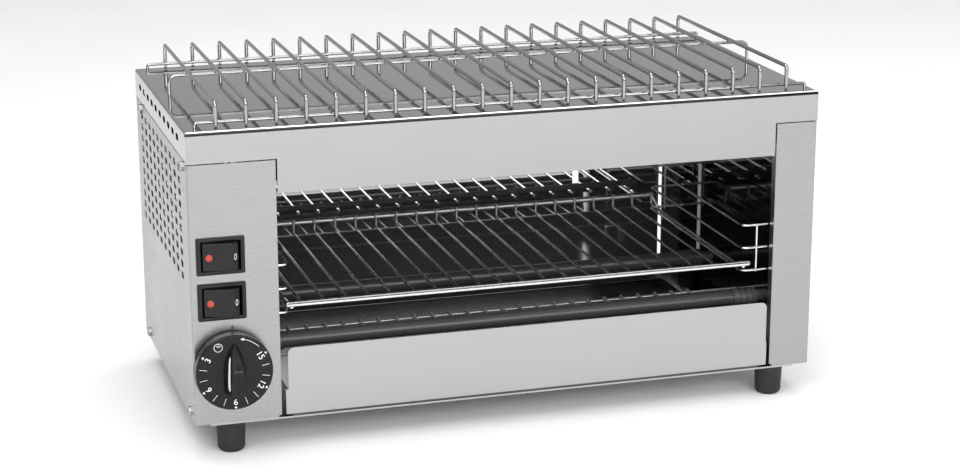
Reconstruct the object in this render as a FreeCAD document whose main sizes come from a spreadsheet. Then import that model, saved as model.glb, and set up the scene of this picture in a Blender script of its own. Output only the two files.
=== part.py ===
import FreeCAD, Part
import Sketcher
import math
import os

# Open-fronted quartz-tube toaster for a counter.
#
# Every piece is drawn in casing coordinates: x runs to the right from the outside of the
# left side panel, y runs back from the front face, z runs up from the underside of the
# casing.  Each piece's Placement then carries it into the part's own frame, whose origin
# is on the counter, midway across and midway front to back, with +Z up.

V = FreeCAD.Vector
doc = FreeCAD.newDocument("Toaster")
sheet = doc.addObject("Spreadsheet::Sheet", "Sizes")

# ---------------------------------------------------------------- driving sizes (mm)
SIZES = [
    ("case_width", 440.0, "outside, over both side panels"),
    ("case_depth", 214.0, "front face to rear flange"),
    ("case_height", 198.0, "underside of the side panels to the top plate"),
    ("skin", 1.0, "casing sheet"),
    ("liner_skin", 0.8, "inner sheet"),
    ("bend_outer", 1.3, "outside radius of the folded edges"),
    ("hood_bend", 1.9, "outside radius of the hood's folded edges"),
    ("frame_x", -220.0, "casing x of the part's origin, negated"),
    ("frame_y", -95.1, "casing y of the part's origin, negated"),
    ("frame_z", 22.5, "counter to the underside of the casing"),
    ("column_left", 58.2, "inner edge of the left front column"),
    ("column_right", 410.0, "inner edge of the right front column"),
    ("column_return", 5.5, "depth of the column's folded inner edge"),
    ("column_top", 176.3, "top of both columns"),
    ("side_top", 177.6, "top edge of the side walls"),
    ("header_bottom", 154.1, "bottom edge of the front header"),
    ("header_gap", 1.1, "gap beside the header"),
    ("hood_bottom", 177.0, "bottom edge of the hood over the columns"),
    ("hood_side_bottom", 178.3, "bottom edge of the hood's side flanges"),
    ("hood_rear_bottom", 182.0, "bottom edge of the hood's rear flange"),
    ("header_return", 9.0, "depth of the header's folded bottom edge"),
    ("slot_long", 9.5, "vent slot, end to end"),
    ("slot_high", 4.5, "vent slot, height"),
    ("slot_first_y", 29.0, "first column of side slots"),
    ("slot_pitch_y", 17.67, "between columns of side slots"),
    ("slot_first_z", 95.7, "lowest row of side slots"),
    ("slot_pitch_z", 8.12, "between rows of side slots"),
    ("slot_count", 10.0, "slots along and up"),
    ("hood_slot_first", 30.7, "first slot in the hood's side flange"),
    ("hood_slot_pitch", 17.8, "between slots in the hood's side flange"),
    ("hood_slot_z", 188.8, "slot row in the hood's side flange"),
    ("screw_front_y", 12.0, "upper front side screw"),
    ("screw_rear_y", 190.0, "upper rear side screw"),
    ("screw_upper_z", 173.5, "upper side screws"),
    ("screw_low_front_y", 16.0, "lower front side screw"),
    ("screw_low_rear_y", 191.5, "lower rear side screw"),
    ("screw_lower_z", 5.0, "lower side screws"),
    ("screw_hole", 2.1, "radius of the screw holes"),
    ("screw_shank", 1.95, "radius of the screw shanks"),
    ("screw_head", 3.2, "radius of the pan heads"),
    ("screw_head_high", 2.2, "height of the pan heads"),
    ("screw_length", 8.0, "screw under its head"),
    ("pan_left", 10.5, "lowered floor of the base, left edge"),
    ("pan_right", 428.3, "lowered floor of the base, right edge"),
    ("pan_drop", 1.5, "floor of the base below the side panels"),
    ("pan_skin", 1.2, "base sheet"),
    ("pan_flange", 14.0, "height of the base's side flanges"),
    ("pan_front", 1.0, "front edge of the base"),
    ("foot_inset_x", 25.5, "foot centre from the side"),
    ("foot_front_y", 11.0, "front feet"),
    ("foot_rear_y", 203.0, "rear feet"),
    ("foot_top", 10.0, "radius of a foot at the top"),
    ("foot_foot", 9.25, "radius of a foot lower down"),
    ("foot_high", 21.0, "height of a foot"),
    ("foot_round", 3.0, "rounding of a foot's lower edge"),
    ("back_y", 195.0, "front face of the back wall"),
    ("liner_left", 49.0, "cavity face of the left liner"),
    ("liner_right", 418.0, "cavity face of the right liner"),
    ("ceiling_z", 181.0, "underside of the ceiling pan"),
    ("wire", 1.8, "diameter of the toast rack's and guides' wires"),
    ("top_wire", 2.8, "diameter of the warming rack's bent wires"),
    ("top_rod", 2.2, "diameter of the warming rack's long rods"),
    ("rod", 2.4, "diameter of the toast rack's side rods"),
    ("top_first", 21.8, "first wire of the warming rack"),
    ("top_pitch", 19.9, "wire spacing of the warming rack"),
    ("wire_count", 21.0, "wires on each rack"),
    ("top_wire_z", 214.5, "centre of the warming rack's wires"),
    ("top_leg_z", 199.9, "lower end of the warming rack's legs"),
    ("top_rod_z", 201.3, "front and rear rods of the warming rack"),
    ("toast_first", 74.1, "first wire of the toast rack"),
    ("toast_pitch", 15.55, "wire spacing of the toast rack"),
    ("toast_z", 77.0, "centre of the toast rack's wires"),
    ("rail", 4.0, "diameter of the toast rack's front rail"),
    ("rear_rail_z", 84.0, "raised rear rail"),
    ("rear_rail_y", 175.0, "raised rear rail"),
    ("level_low", 70.0, "lowest guide level"),
    ("level_pitch", 16.4, "between guide levels"),
    ("guide_left", 66.3, "inner run of the left guide"),
    ("guide_right", 390.5, "inner run of the right guide"),
    ("tube_outer", 5.5, "quartz tube outside radius"),
    ("tube_inner", 4.4, "quartz tube bore radius"),
    ("tube_left", 61.0, "left end of the quartz tubes"),
    ("tube_right", 393.0, "right end of the quartz tubes"),
    ("coil_radius", 3.2, "heating coil outside radius"),
    ("low_tube_z", 44.5, "lower tubes"),
    ("high_tube_z", 166.5, "upper tubes"),
    ("low_front_y", 28.0, "lower front tube"),
    ("high_front_y", 45.0, "upper front tube"),
    ("rear_tube_y", 152.0, "upper rear tube"),
    ("low_rear_y", 130.0, "lower rear tube"),
    ("cap_radius", 6.4, "ceramic end cap"),
    ("tray_left", 63.1, "tray front, upper part"),
    ("tray_right", 406.9, "tray front, upper part"),
    ("tray_foot_left", 61.3, "tray front, lower part"),
    ("tray_foot_right", 407.5, "tray front, lower part"),
    ("tray_step_z", 19.0, "where the tray front steps out"),
    ("tray_bottom", 1.7, "bottom edge of the tray front"),
    ("tray_top", 48.0, "top edge of the tray front"),
    ("tray_corner", 4.3, "radius of the tray front's upper corners"),
    ("pan_in_left", 66.0, "tray pan, left wall"),
    ("pan_in_right", 402.0, "tray pan, right wall"),
    ("pan_in_back", 188.0, "tray pan, rear wall"),
    ("pan_in_high", 12.0, "tray pan, wall height"),
    ("switch_x", 20.4, "centre of both switches"),
    ("switch_upper_z", 115.3, "upper switch"),
    ("switch_lower_z", 84.3, "lower switch"),
    ("bezel_wide", 32.0, "switch bezel"),
    ("bezel_high", 25.2, "switch bezel"),
    ("bezel_proud", 2.0, "bezel in front of the column"),
    ("body_wide", 29.6, "switch body behind the column"),
    ("body_high", 21.6, "switch body behind the column"),
    ("body_deep", 22.0, "switch body behind the column"),
    ("mouth_wide", 26.2, "opening of the bezel"),
    ("mouth_high", 20.0, "opening of the bezel"),
    ("rocker_high", 18.4, "rocker"),
    ("rocker_pin_y", 1.8, "rocker pivot behind the front face"),
    ("rocker_pin", 1.5, "radius of the rocker's trunnions"),
    ("running_gap", 0.05, "radial play of turning fits"),
    ("knob_x", 25.4, "timer axis"),
    ("knob_z", 38.2, "timer axis"),
    ("knob_radius", 25.7, "dial"),
    ("knob_face", 11.0, "dial face in front of the column"),
    ("knob_back", 1.6, "gap between dial and column"),
    ("wing_high", 15.0, "wing handle above the dial face"),
    ("shaft_radius", 3.0, "timer shaft"),
]
for row, (name, value, note) in enumerate(SIZES, start=1):
    sheet.set("A%d" % row, name)
    sheet.set("B%d" % row, repr(value))
    sheet.set("C%d" % row, note)
    sheet.setAlias("B%d" % row, name)
doc.recompute()


class Size:
    """A length that knows both its value and the sheet formula it comes from."""

    def __init__(self, value, text):
        self.value = value
        self.text = text

    def __add__(self, other):
        other = size(other)
        return Size(self.value + other.value, "(%s + %s)" % (self.text, other.text))

    __radd__ = __add__

    def __sub__(self, other):
        other = size(other)
        return Size(self.value - other.value, "(%s - %s)" % (self.text, other.text))

    def __rsub__(self, other):
        return size(other) - self

    def __mul__(self, other):
        other = size(other)
        return Size(self.value * other.value, "(%s * %s)" % (self.text, other.text))

    __rmul__ = __mul__

    def __truediv__(self, other):
        other = size(other)
        return Size(self.value / other.value, "(%s / %s)" % (self.text, other.text))

    def __neg__(self):
        return Size(-self.value, "(-1 * %s)" % self.text)

    def __float__(self):
        return float(self.value)


def size(v):
    return v if isinstance(v, Size) else Size(float(v), repr(float(v)))


D = {name: Size(value, "Sizes.%s" % name) for name, value, note in SIZES}
N = {name: value for name, value, note in SIZES}
made = {}


def bind(obj, prop, v):
    v = size(v)
    if "Sizes." in v.text:
        obj.setExpression(prop, v.text)
    else:
        setattr(obj, prop, v.value)


def seat(obj):
    """Carry a piece from casing coordinates into the part's own frame."""
    obj.Placement = FreeCAD.Placement(V(N["frame_x"], N["frame_y"], N["frame_z"]), FreeCAD.Rotation())
    obj.setExpression("Placement.Base.x", "Sizes.frame_x")
    obj.setExpression("Placement.Base.y", "Sizes.frame_y")
    obj.setExpression("Placement.Base.z", "Sizes.frame_z")


def keep(obj, label):
    obj.Label = label
    made[label] = obj
    return obj


# ---------------------------------------------------------------- sketch helpers
PLANES = {"XY": ("XY_Plane", 1.0), "XZ": ("XZ_Plane", -1.0), "YZ": ("YZ_Plane", 1.0)}


def new_body(name):
    b = doc.addObject("PartDesign::Body", name)
    return b


def sketch(body, name, plane, at):
    """A sketch on one of the body's origin planes, moved to the casing coordinate 'at'."""
    role, sign = PLANES[plane]
    sk = body.newObject("Sketcher::SketchObject", name)
    base = [f for f in body.Origin.OriginFeatures if f.Role == role][0]
    sk.AttachmentSupport = [(base, "")]
    sk.MapMode = "FlatFace"
    off = size(at) * sign
    sk.AttachmentOffset = FreeCAD.Placement(V(0, 0, off.value), FreeCAD.Rotation())
    if "Sizes." in off.text:
        sk.setExpression("AttachmentOffset.Base.z", off.text)
    return sk


def pin_point(sk, geo, pos, u, w):
    for kind, v, axis in (("DistanceX", size(u), -2), ("DistanceY", size(w), -1)):
        if abs(v.value) < 1e-9:
            sk.addConstraint(Sketcher.Constraint("PointOnObject", geo, pos, axis))
            continue
        if v.value > 0:
            k = sk.addConstraint(Sketcher.Constraint(kind, -1, 1, geo, pos, v.value))
        else:
            v = -v
            k = sk.addConstraint(Sketcher.Constraint(kind, geo, pos, -1, 1, v.value))
        if "Sizes." in v.text:
            sk.setExpression("Constraints[%d]" % k, v.text)


def loop(sk, pts):
    """A closed polygon, every corner placed by the sheet."""
    n = len(pts)
    vals = [(size(a), size(b)) for a, b in pts]
    geos = []
    for i in range(n):
        a, b = vals[i], vals[(i + 1) % n]
        geos.append(sk.addGeometry(Part.LineSegment(V(a[0].value, a[1].value, 0),
                                                    V(b[0].value, b[1].value, 0)), False))
    for i in range(n):
        sk.addConstraint(Sketcher.Constraint("Coincident", geos[i], 2, geos[(i + 1) % n], 1))
    for i in range(n):
        pin_point(sk, geos[i], 1, vals[i][0], vals[i][1])
    return geos


def box_loop(sk, u0, u1, w0, w1):
    return loop(sk, [(u0, w0), (u1, w0), (u1, w1), (u0, w1)])


def ring(sk, u, w, r):
    u, w, r = size(u), size(w), size(r)
    g = sk.addGeometry(Part.Circle(V(u.value, w.value, 0), V(0, 0, 1), r.value), False)
    pin_point(sk, g, 3, u, w)
    k = sk.addConstraint(Sketcher.Constraint("Radius", g, r.value))
    if "Sizes." in r.text:
        sk.setExpression("Constraints[%d]" % k, r.text)
    return g


def slot(sk, u, w, length, high):
    """An obround slot lying along the sketch's first axis."""
    u, w, length, high = size(u), size(w), size(length), size(high)
    r = high / 2
    a = u - length / 2 + r
    b = u + length / 2 - r
    left = sk.addGeometry(Part.ArcOfCircle(Part.Circle(V(a.value, w.value, 0), V(0, 0, 1), r.value),
                                           math.pi / 2, 3 * math.pi / 2), False)
    right = sk.addGeometry(Part.ArcOfCircle(Part.Circle(V(b.value, w.value, 0), V(0, 0, 1), r.value),
                                            -math.pi / 2, math.pi / 2), False)
    low = sk.addGeometry(Part.LineSegment(V(a.value, w.value - r.value, 0), V(b.value, w.value - r.value, 0)), False)
    top = sk.addGeometry(Part.LineSegment(V(b.value, w.value + r.value, 0), V(a.value, w.value + r.value, 0)), False)
    sk.addConstraint(Sketcher.Constraint("Tangent", left, 2, low, 1))
    sk.addConstraint(Sketcher.Constraint("Tangent", low, 2, right, 1))
    sk.addConstraint(Sketcher.Constraint("Tangent", right, 2, top, 1))
    sk.addConstraint(Sketcher.Constraint("Tangent", top, 2, left, 1))
    pin_point(sk, left, 3, a, w)
    k = sk.addConstraint(Sketcher.Constraint("DistanceX", left, 3, right, 3, (b - a).value))
    sk.setExpression("Constraints[%d]" % k, (b - a).text)
    k = sk.addConstraint(Sketcher.Constraint("Radius", left, r.value))
    sk.setExpression("Constraints[%d]" % k, r.text)


def pad(body, name, sk, length, back=False):
    f = body.newObject("PartDesign::Pad", name)
    f.Profile = sk
    bind(f, "Length", length)
    f.Reversed = back
    sk.Visibility = False
    doc.recompute()
    return f


def pocket(body, name, sk, length, back=False):
    before = body.Shape.Volume
    f = body.newObject("PartDesign::Pocket", name)
    f.Profile = sk
    bind(f, "Length", length)
    f.Reversed = back
    sk.Visibility = False
    doc.recompute()
    if not body.Shape.Volume < before - 1e-6:
        raise RuntimeError("%s: pocket %s cuts nothing" % (body.Name, name))
    return f


def pad_box(body, name, x0, x1, y0, y1, z0, z1):
    """A block given by its casing limits, drawn as a rectangle and padded up."""
    sk = sketch(body, name + "_sketch", "XY", z0)
    box_loop(sk, x0, x1, y0, y1)
    return pad(body, name, sk, size(z1) - z0)


def pocket_box(body, name, x0, x1, y0, y1, z0, z1):
    sk = sketch(body, name + "_sketch", "XY", z0)
    box_loop(sk, x0, x1, y0, y1)
    return pocket(body, name, sk, size(z1) - z0, back=True)


def round_edges(body, name, radius, wanted, kind="PartDesign::Fillet"):
    """Round the edges of the tip for which wanted(edge) is true."""
    tip = body.Tip
    names = ["Edge%d" % (i + 1) for i, e in enumerate(tip.Shape.Edges) if wanted(e)]
    if not names:
        raise RuntimeError("%s: no edges for %s" % (body.Name, name))
    f = body.newObject(kind, name)
    f.Base = (tip, names)
    bind(f, "Radius" if kind.endswith("Fillet") else "Size", radius)
    doc.recompute()
    return f


def straight(e, axis):
    d = e.Vertexes[-1].Point - e.Vertexes[0].Point if len(e.Vertexes) == 2 else V(0, 0, 0)
    if d.Length < 1e-9:
        return False
    return abs(abs((d / d.Length)[axis]) - 1) < 1e-6


def mid(e):
    return e.CenterOfMass


def near(a, b, tol=0.01):
    return abs(a - b) < tol


# ---------------------------------------------------------------- casing
W, DEEP, HIGH, T = D["case_width"], D["case_depth"], D["case_height"], D["skin"]
TW = N["skin"]


def side_panel(label, mirrored):
    """Side wall, front column with its folded inner edge, and rear return, one folded sheet."""
    body = new_body(label)
    edge = D["column_right"] if mirrored else D["column_left"]

    def X(v):
        return W - v if mirrored else size(v)

    def E(v):          # inward distance v from the column's inner edge
        return edge + v if mirrored else edge - v
    sk = sketch(body, "plan", "XY", 0)
    loop(sk, [(X(0), 0), (edge, 0), (edge, T + D["column_return"]), (E(T), T + D["column_return"]),
              (E(T), T), (X(T), T), (X(T), DEEP - T), (X(12), DEEP - T), (X(12), DEEP), (X(0), DEEP)])
    pad(body, "sheet", sk, D["side_top"])
    # the column stops a little lower than the side wall
    sk = sketch(body, "column_top_cut", "XZ", -1)
    box_loop(sk, E(-1), X(T), D["column_top"], D["side_top"] + 1)
    pocket(body, "column_top_pocket", sk, D["column_return"] + T + 2)
    # the side wall is lower under the hood's front corner strip
    a, b = sorted([X(-1), X(T + 0.5)], key=float)
    pocket_box(body, "corner_pocket", a, b, -1, 4.8, D["column_top"], D["side_top"] + 1)
    # bend relief in the lower inner corner of the column
    sk = sketch(body, "relief", "XZ", -1)
    loop(sk, [(E(-1), -1), (E(2.0), -1), (E(2.0), 0.9), (E(1.2), 1.8), (E(-1), 1.8)])
    pocket(body, "relief_pocket", sk, D["column_return"] + T + 2)
    round_edges(body, "front_bend", D["bend_outer"],
                lambda e: straight(e, 2) and near(mid(e).x, X(0).value) and near(mid(e).y, 0) and e.Length > 100)
    round_edges(body, "rear_bend", D["bend_outer"],
                lambda e: straight(e, 2) and near(mid(e).x, X(0).value) and near(mid(e).y, N["case_depth"]))
    # ten by ten vent slots: one row drawn, then repeated upwards
    sk = sketch(body, "slot_row", "YZ", X(0))
    for k in range(int(N["slot_count"])):
        slot(sk, D["slot_first_y"] + D["slot_pitch_y"] * k, D["slot_first_z"], D["slot_long"], D["slot_high"])
    row = pocket(body, "slot_row_pocket", sk, T * 3, back=not mirrored)
    one = body.Shape.Volume
    pat = body.newObject("PartDesign::LinearPattern", "slot_rows")
    pat.Originals = [row]
    zaxis = [f for f in body.Origin.OriginFeatures if f.Role == "Z_Axis"][0]
    pat.Direction = (zaxis, [""])
    pat.Occurrences = int(N["slot_count"])
    pat.setExpression("Length", "Sizes.slot_pitch_z * (Sizes.slot_count - 1)")
    body.Tip = pat
    doc.recompute()
    if not body.Shape.Volume < one - 100:
        raise RuntimeError("slot rows not repeated")
    # four screw holes
    sk = sketch(body, "screw_holes", "YZ", X(0))
    for y, z in (("screw_front_y", "screw_upper_z"), ("screw_rear_y", "screw_upper_z"),
                 ("screw_low_front_y", "screw_lower_z"), ("screw_low_rear_y", "screw_lower_z")):
        ring(sk, D[y], D[z], D["screw_hole"])
    pocket(body, "screw_hole_pocket", sk, T * 3, back=not mirrored)
    if not mirrored:
        sk = sketch(body, "control_cutouts", "XZ", -1)
        for z in ("switch_upper_z", "switch_lower_z"):
            box_loop(sk, D["switch_x"] - D["body_wide"] / 2 - 0.2, D["switch_x"] + D["body_wide"] / 2 + 0.2,
                     D[z] - D["body_high"] / 2 - 0.2, D[z] + D["body_high"] / 2 + 0.2)
        ring(sk, D["knob_x"], D["knob_z"], 5.2)
        ring(sk, D["knob_x"] - 10, D["knob_z"], 1.7)
        ring(sk, D["knob_x"] + 10, D["knob_z"], 1.7)
        pocket(body, "control_pocket", sk, 4)
    seat(body)
    return keep(body, label)


side_panel("left_side_panel", False)
side_panel("right_side_panel", True)

# Hood: top plate with front header, side flanges and rear flange
hood = new_body("hood")
pad_box(hood, "block", 0, W, 0, DEEP, D["hood_bottom"], HIGH)
pocket_box(hood, "inside", T, W - T, T, DEEP - T, D["hood_bottom"] - 1, HIGH - T)
sk = sketch(hood, "side_trim", "YZ", -1)
box_loop(sk, 4.5, DEEP + 1, D["hood_bottom"] - 1, D["hood_side_bottom"])
pocket(hood, "side_trim_pocket", sk, W + 2, back=True)
sk = sketch(hood, "rear_trim", "XZ", DEEP + 1)
box_loop(sk, T, W - T, D["hood_bottom"] - 1, D["hood_rear_bottom"])
pocket(hood, "rear_trim_pocket", sk, T + 2, back=True)
pad_box(hood, "header", D["column_left"] + D["header_gap"], D["column_right"] - D["header_gap"],
        0, T, D["header_bottom"], D["hood_bottom"] + 2)
pad_box(hood, "header_lip", D["column_left"] + D["header_gap"], D["column_right"] - D["header_gap"],
        0, D["header_return"], D["header_bottom"], D["header_bottom"] + T)
round_edges(hood, "folds", D["hood_bend"],
            lambda e: e.Length > 100 and near(mid(e).z, N["case_height"]) and
            (near(mid(e).x, 0) or near(mid(e).x, N["case_width"]) or near(mid(e).y, 0) or near(mid(e).y, N["case_depth"])))
for at, back, nm in ((D["case_width"] * 0, True, "left"), (W, False, "right")):
    sk = sketch(hood, "slots_" + nm, "YZ", at)
    for k in range(int(N["slot_count"])):
        slot(sk, D["hood_slot_first"] + D["hood_slot_pitch"] * k, D["hood_slot_z"], D["slot_long"], D["slot_high"])
    pocket(hood, "slot_pocket_" + nm, sk, T * 3, back=back)
REAR_SCREWS = [80, 220, 360]
sk = sketch(hood, "rear_holes", "XZ", DEEP + 1)
for x in REAR_SCREWS:
    ring(sk, x, 189, D["screw_hole"])
pocket(hood, "rear_hole_pocket", sk, T + 2, back=True)
seat(hood)
keep(hood, "hood")

# Base: floor pressed down between the side panels, flanges folded up inside them
base = new_body("base_pan")
PD, PS, PL, PR = D["pan_drop"], D["pan_skin"], D["pan_left"], D["pan_right"]
sk = sketch(base, "section", "XZ", D["pan_front"])
loop(sk, [(T, D["pan_flange"]), (T, 0), (PL, 0), (PL, -PD), (PR, -PD), (PR, 0), (W - T, 0), (W - T, D["pan_flange"]),
          (W - T - PS, D["pan_flange"]), (W - T - PS, PS), (PR - PS, PS), (PR - PS, PS - PD),
          (PL + PS, PS - PD), (PL + PS, PS), (T + PS, PS), (T + PS, D["pan_flange"])])
pad(base, "folded", sk, DEEP - T - D["pan_front"] - 0.2, back=True)
sk = sketch(base, "foot_holes", "XY", -3)
for x in (D["foot_inset_x"], W - D["foot_inset_x"]):
    for y in (D["foot_front_y"], D["foot_rear_y"]):
        ring(sk, x, y, D["screw_hole"])
pocket(base, "foot_hole_pocket", sk, 6, back=True)
sk = sketch(base, "floor_vents", "XY", -3)
for k in range(5):
    slot(sk, 28, 60 + 14 * k, 26, 4)
pocket(base, "vent_pocket", sk, 6, back=True)
sk = sketch(base, "flange_holes", "YZ", -1)
for y, z in (("screw_low_front_y", "screw_lower_z"), ("screw_low_rear_y", "screw_lower_z")):
    ring(sk, D[y], D[z], D["screw_hole"])
pocket(base, "flange_hole_pocket", sk, W + 2, back=True)
# room for the columns' folded feet at the front corners
pocket_box(base, "left_corner", 0, T + PS + 0.001, 0, 2.2, PS, D["pan_flange"] + 1)
pocket_box(base, "right_corner", W - T - PS - 0.001, W, 0, 2.2, PS, D["pan_flange"] + 1)
seat(base)
keep(base, "base_pan")
FLOOR = PS - PD          # top of the lowered floor

# Back wall of the cavity and casing, set in from the rear edge
rear = new_body("rear_panel")
sk = sketch(rear, "plan", "XY", 15)
BY = D["back_y"]
loop(sk, [(T, BY - 11), (T * 2, BY - 11), (T * 2, BY), (W - T * 2, BY), (W - T * 2, BY - 11), (W - T, BY - 11),
          (W - T, BY + T), (T, BY + T)])
pad(rear, "flanged", sk, 149)
pad_box(rear, "low", T + PS + 0.3, W - T - PS - 0.3, BY, BY + T, PS + 0.1, 15)
pad_box(rear, "lowest", PL + PS + 0.3, PR - PS - 0.3, BY, BY + T, FLOOR, PS + 0.1)
pad_box(rear, "high", T * 2 + 0.3, W - T * 2 - 0.3, BY, BY + T, 164, D["ceiling_z"])
pad_box(rear, "ledge", 14, W - 14, BY, DEEP - T, D["ceiling_z"] - T, D["ceiling_z"])
pad_box(rear, "ledge_lip", 14, W - 14, DEEP - T * 2, DEEP - T, D["ceiling_z"] - T, 196)
sk = sketch(rear, "slots", "XZ", BY - 1)
box_loop(sk, 400.0, 402.8, 29.9, 160)
box_loop(sk, 65.1, 67.9, 29.9, 160)
box_loop(sk, 329, 334, 92, 160)
ring(sk, 24, 46, 8.2)
pocket(rear, "slot_pocket", sk, 3)
sk = sketch(rear, "control_vents", "XZ", BY - 1)
for k in range(6):
    slot(sk, 24, 80 + 12 * k, 26, 4)
pocket(rear, "control_vent_pocket", sk, 3)
sk = sketch(rear, "lip_holes", "XZ", DEEP - 3)
for x in REAR_SCREWS:
    ring(sk, x, 189, D["screw_hole"])
pocket(rear, "lip_hole_pocket", sk, 3)
seat(rear)
keep(rear, "rear_panel")

# Ceiling pan: reflector over the upper tubes, ties the two side panels together
ceiling = new_body("ceiling_pan")
CZ = D["ceiling_z"]
pad_box(ceiling, "plate", T, W - T, 4, BY, CZ, CZ + T)
pad_box(ceiling, "left_flange", T, T * 2, 4, BY, 165, CZ)
pad_box(ceiling, "right_flange", W - T * 2, W - T, 4, BY, 165, CZ)
pad_box(ceiling, "front_flange", 60, 408, 9.6, 10.6, 160, CZ)
sk = sketch(ceiling, "flange_holes", "YZ", -1)
ring(sk, D["screw_front_y"], D["screw_upper_z"], D["screw_hole"])
ring(sk, D["screw_rear_y"], D["screw_upper_z"], D["screw_hole"])
pocket(ceiling, "flange_hole_pocket", sk, 5, back=True)
sk = sketch(ceiling, "flange_holes_right", "YZ", W - 4)
ring(sk, D["screw_front_y"], D["screw_upper_z"], D["screw_hole"])
ring(sk, D["screw_rear_y"], D["screw_upper_z"], D["screw_hole"])
pocket(ceiling, "flange_hole_right_pocket", sk, 5, back=True)
seat(ceiling)
keep(ceiling, "ceiling_pan")

# ---------------------------------------------------------------- heating
TUBES = [("upper_front", D["high_front_y"], D["high_tube_z"]), ("upper_rear", D["rear_tube_y"], D["high_tube_z"]),
         ("lower_front", D["low_front_y"], D["low_tube_z"]), ("lower_rear", D["low_rear_y"], D["low_tube_z"])]
LS = D["liner_skin"]


def liner(label, mirrored):
    """Cavity wall with a front flange behind the column and a foot on the base."""
    body = new_body(label)
    face = D["liner_right"] if mirrored else D["liner_left"]
    s = 1 if mirrored else -1

    def O(v):           # away from the cavity
        return face + v if mirrored else face - v
    tip = D["column_right"] + 1.2 if mirrored else D["column_left"] - 1.2
    sk = sketch(body, "plan", "XY", 6)
    front_y = T + D["column_return"] + 0.1
    loop(sk, [(tip, front_y), (O(LS), front_y), (O(LS), BY), (face, BY), (face, front_y + LS), (tip, front_y + LS)])
    pad(body, "wall", sk, CZ - 6)
    pad_box(body, "lower_wall", *(sorted([face, O(LS)], key=float)), 18, BY, FLOOR, 6)
    a, b = sorted([O(LS), O(9)], key=float)
    pad_box(body, "foot_flange", a, b, 18, BY - 5, FLOOR, FLOOR + LS)
    sk = sketch(body, "tube_holes", "YZ", face - 3)
    for nm, y, z in TUBES:
        ring(sk, y, z, 3.3)
    pocket(body, "tube_hole_pocket", sk, 6, back=True)
    seat(body)
    return keep(body, label)


liner("left_liner", False)
liner("right_liner", True)

TL, TR = D["tube_left"], D["tube_right"]
for nm, y, z in TUBES:
    # quartz tube
    b = new_body(nm + "_tube")
    sk = sketch(b, "section", "YZ", TL)
    ring(sk, y, z, D["tube_outer"])
    ring(sk, y, z, D["tube_inner"])
    pad(b, "tube", sk, TR - TL)
    seat(b)
    keep(b, nm + "_tube")
    # heating coil, held as one slim cylinder of the coil's outside size
    b = new_body(nm + "_coil")
    sk = sketch(b, "section", "YZ", TL + 1)
    ring(sk, y, z, D["coil_radius"])
    pad(b, "coil", sk, TR - TL - 2)
    seat(b)
    keep(b, nm + "_coil")


def revolve_x(label, y, z, profile):
    """A turned piece about an axis parallel to x: profile is (x, radius) pairs."""
    body = new_body(label)
    sk = sketch(body, "profile", "XZ", y)
    loop(sk, [(x, size(z) + r) for x, r in profile])
    rev = body.newObject("PartDesign::Revolution", "turned")
    rev.Profile = sk
    axis = sk.addGeometry(Part.LineSegment(V(0, float(z), 0), V(10, float(z), 0)), True)
    pin_point(sk, axis, 1, 0, z)
    pin_point(sk, axis, 2, 10, z)
    rev.ReferenceAxis = (sk, ["Axis0"])
    rev.Angle = 360
    sk.Visibility = False
    doc.recompute()
    return body


def group(label, members):
    """Several identical or paired separate solids that share one name."""
    c = doc.addObject("Part::Compound", label)
    c.Links = members
    doc.recompute()
    return keep(c, label)


for nm, y, z in TUBES:
    R = D["cap_radius"]
    left = revolve_x(nm + "_cap_a", y, z, [
        (D["liner_left"] - LS - 3, 0.9), (D["liner_left"] - LS - 3, 3.1), (D["liner_left"], 3.1), (D["liner_left"], R),
        (D["liner_left"] + 3, R), (D["liner_left"] + 3, R - 0.7), (D["liner_left"] + 4.5, R - 0.7), (D["liner_left"] + 4.5, R),
        (D["liner_left"] + 7.5, R), (D["liner_left"] + 7.5, R - 0.7), (D["liner_left"] + 9, R - 0.7), (D["liner_left"] + 9, R),
        (TL + 4, R), (TL + 4, D["tube_outer"]), (TL, D["tube_outer"]), (TL, 0.9)])
    seat(left)
    right = revolve_x(nm + "_cap_b", y, z, [
        (TR, 0.9), (TR, D["tube_outer"]), (TR - 1, D["tube_outer"]), (TR - 1, R),
        (TR + 3, R), (TR + 3, R - 0.7), (TR + 4.5, R - 0.7), (TR + 4.5, R),
        (TR + 7.5, R), (TR + 7.5, R - 0.7), (TR + 9, R - 0.7), (TR + 9, R),
        (TR + 12, R), (TR + 12, R - 0.7), (TR + 13.5, R - 0.7), (TR + 13.5, R), (TR + 16, R),
        (TR + 16, 4.2), (D["liner_right"], 4.2), (D["liner_right"], 3.1), (D["liner_right"] + LS + 3, 3.1),
        (D["liner_right"] + LS + 3, 0.9)])
    seat(right)
    group(nm + "_caps", [left, right])


# ---------------------------------------------------------------- wire work
def route(points, radii):
    """Straight runs joined by tangent arcs, through the given corner points."""
    edges = []
    n = len(points)
    start = V(*points[0])
    for i in range(1, n - 1):
        p, q, r = V(*points[i - 1]), V(*points[i]), V(*points[i + 1])
        u, w = (p - q), (r - q)
        lu, lw = u.Length, w.Length
        u.normalize()
        w.normalize()
        half = (math.pi - u.getAngle(w)) / 2.0
        rad = radii[i - 1] if isinstance(radii, (list, tuple)) else radii
        if rad is None:
            rad = 0.45 * min(lu, lw) / math.tan(half)
        cut = rad * math.tan(half)
        a, b = q + u * cut, q + w * cut
        centre_dir = (u + w)
        centre_dir.normalize()
        c = q + centre_dir * (rad / math.cos(half))
        m = c - centre_dir * rad
        if (a - start).Length > 1e-6:
            edges.append(Part.LineSegment(start, a).toShape())
        edges.append(Part.Arc(a, m, b).toShape())
        start = b
    end = V(*points[-1])
    if (end - start).Length > 1e-6:
        edges.append(Part.LineSegment(start, end).toShape())
    return Part.Wire(edges)


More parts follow.
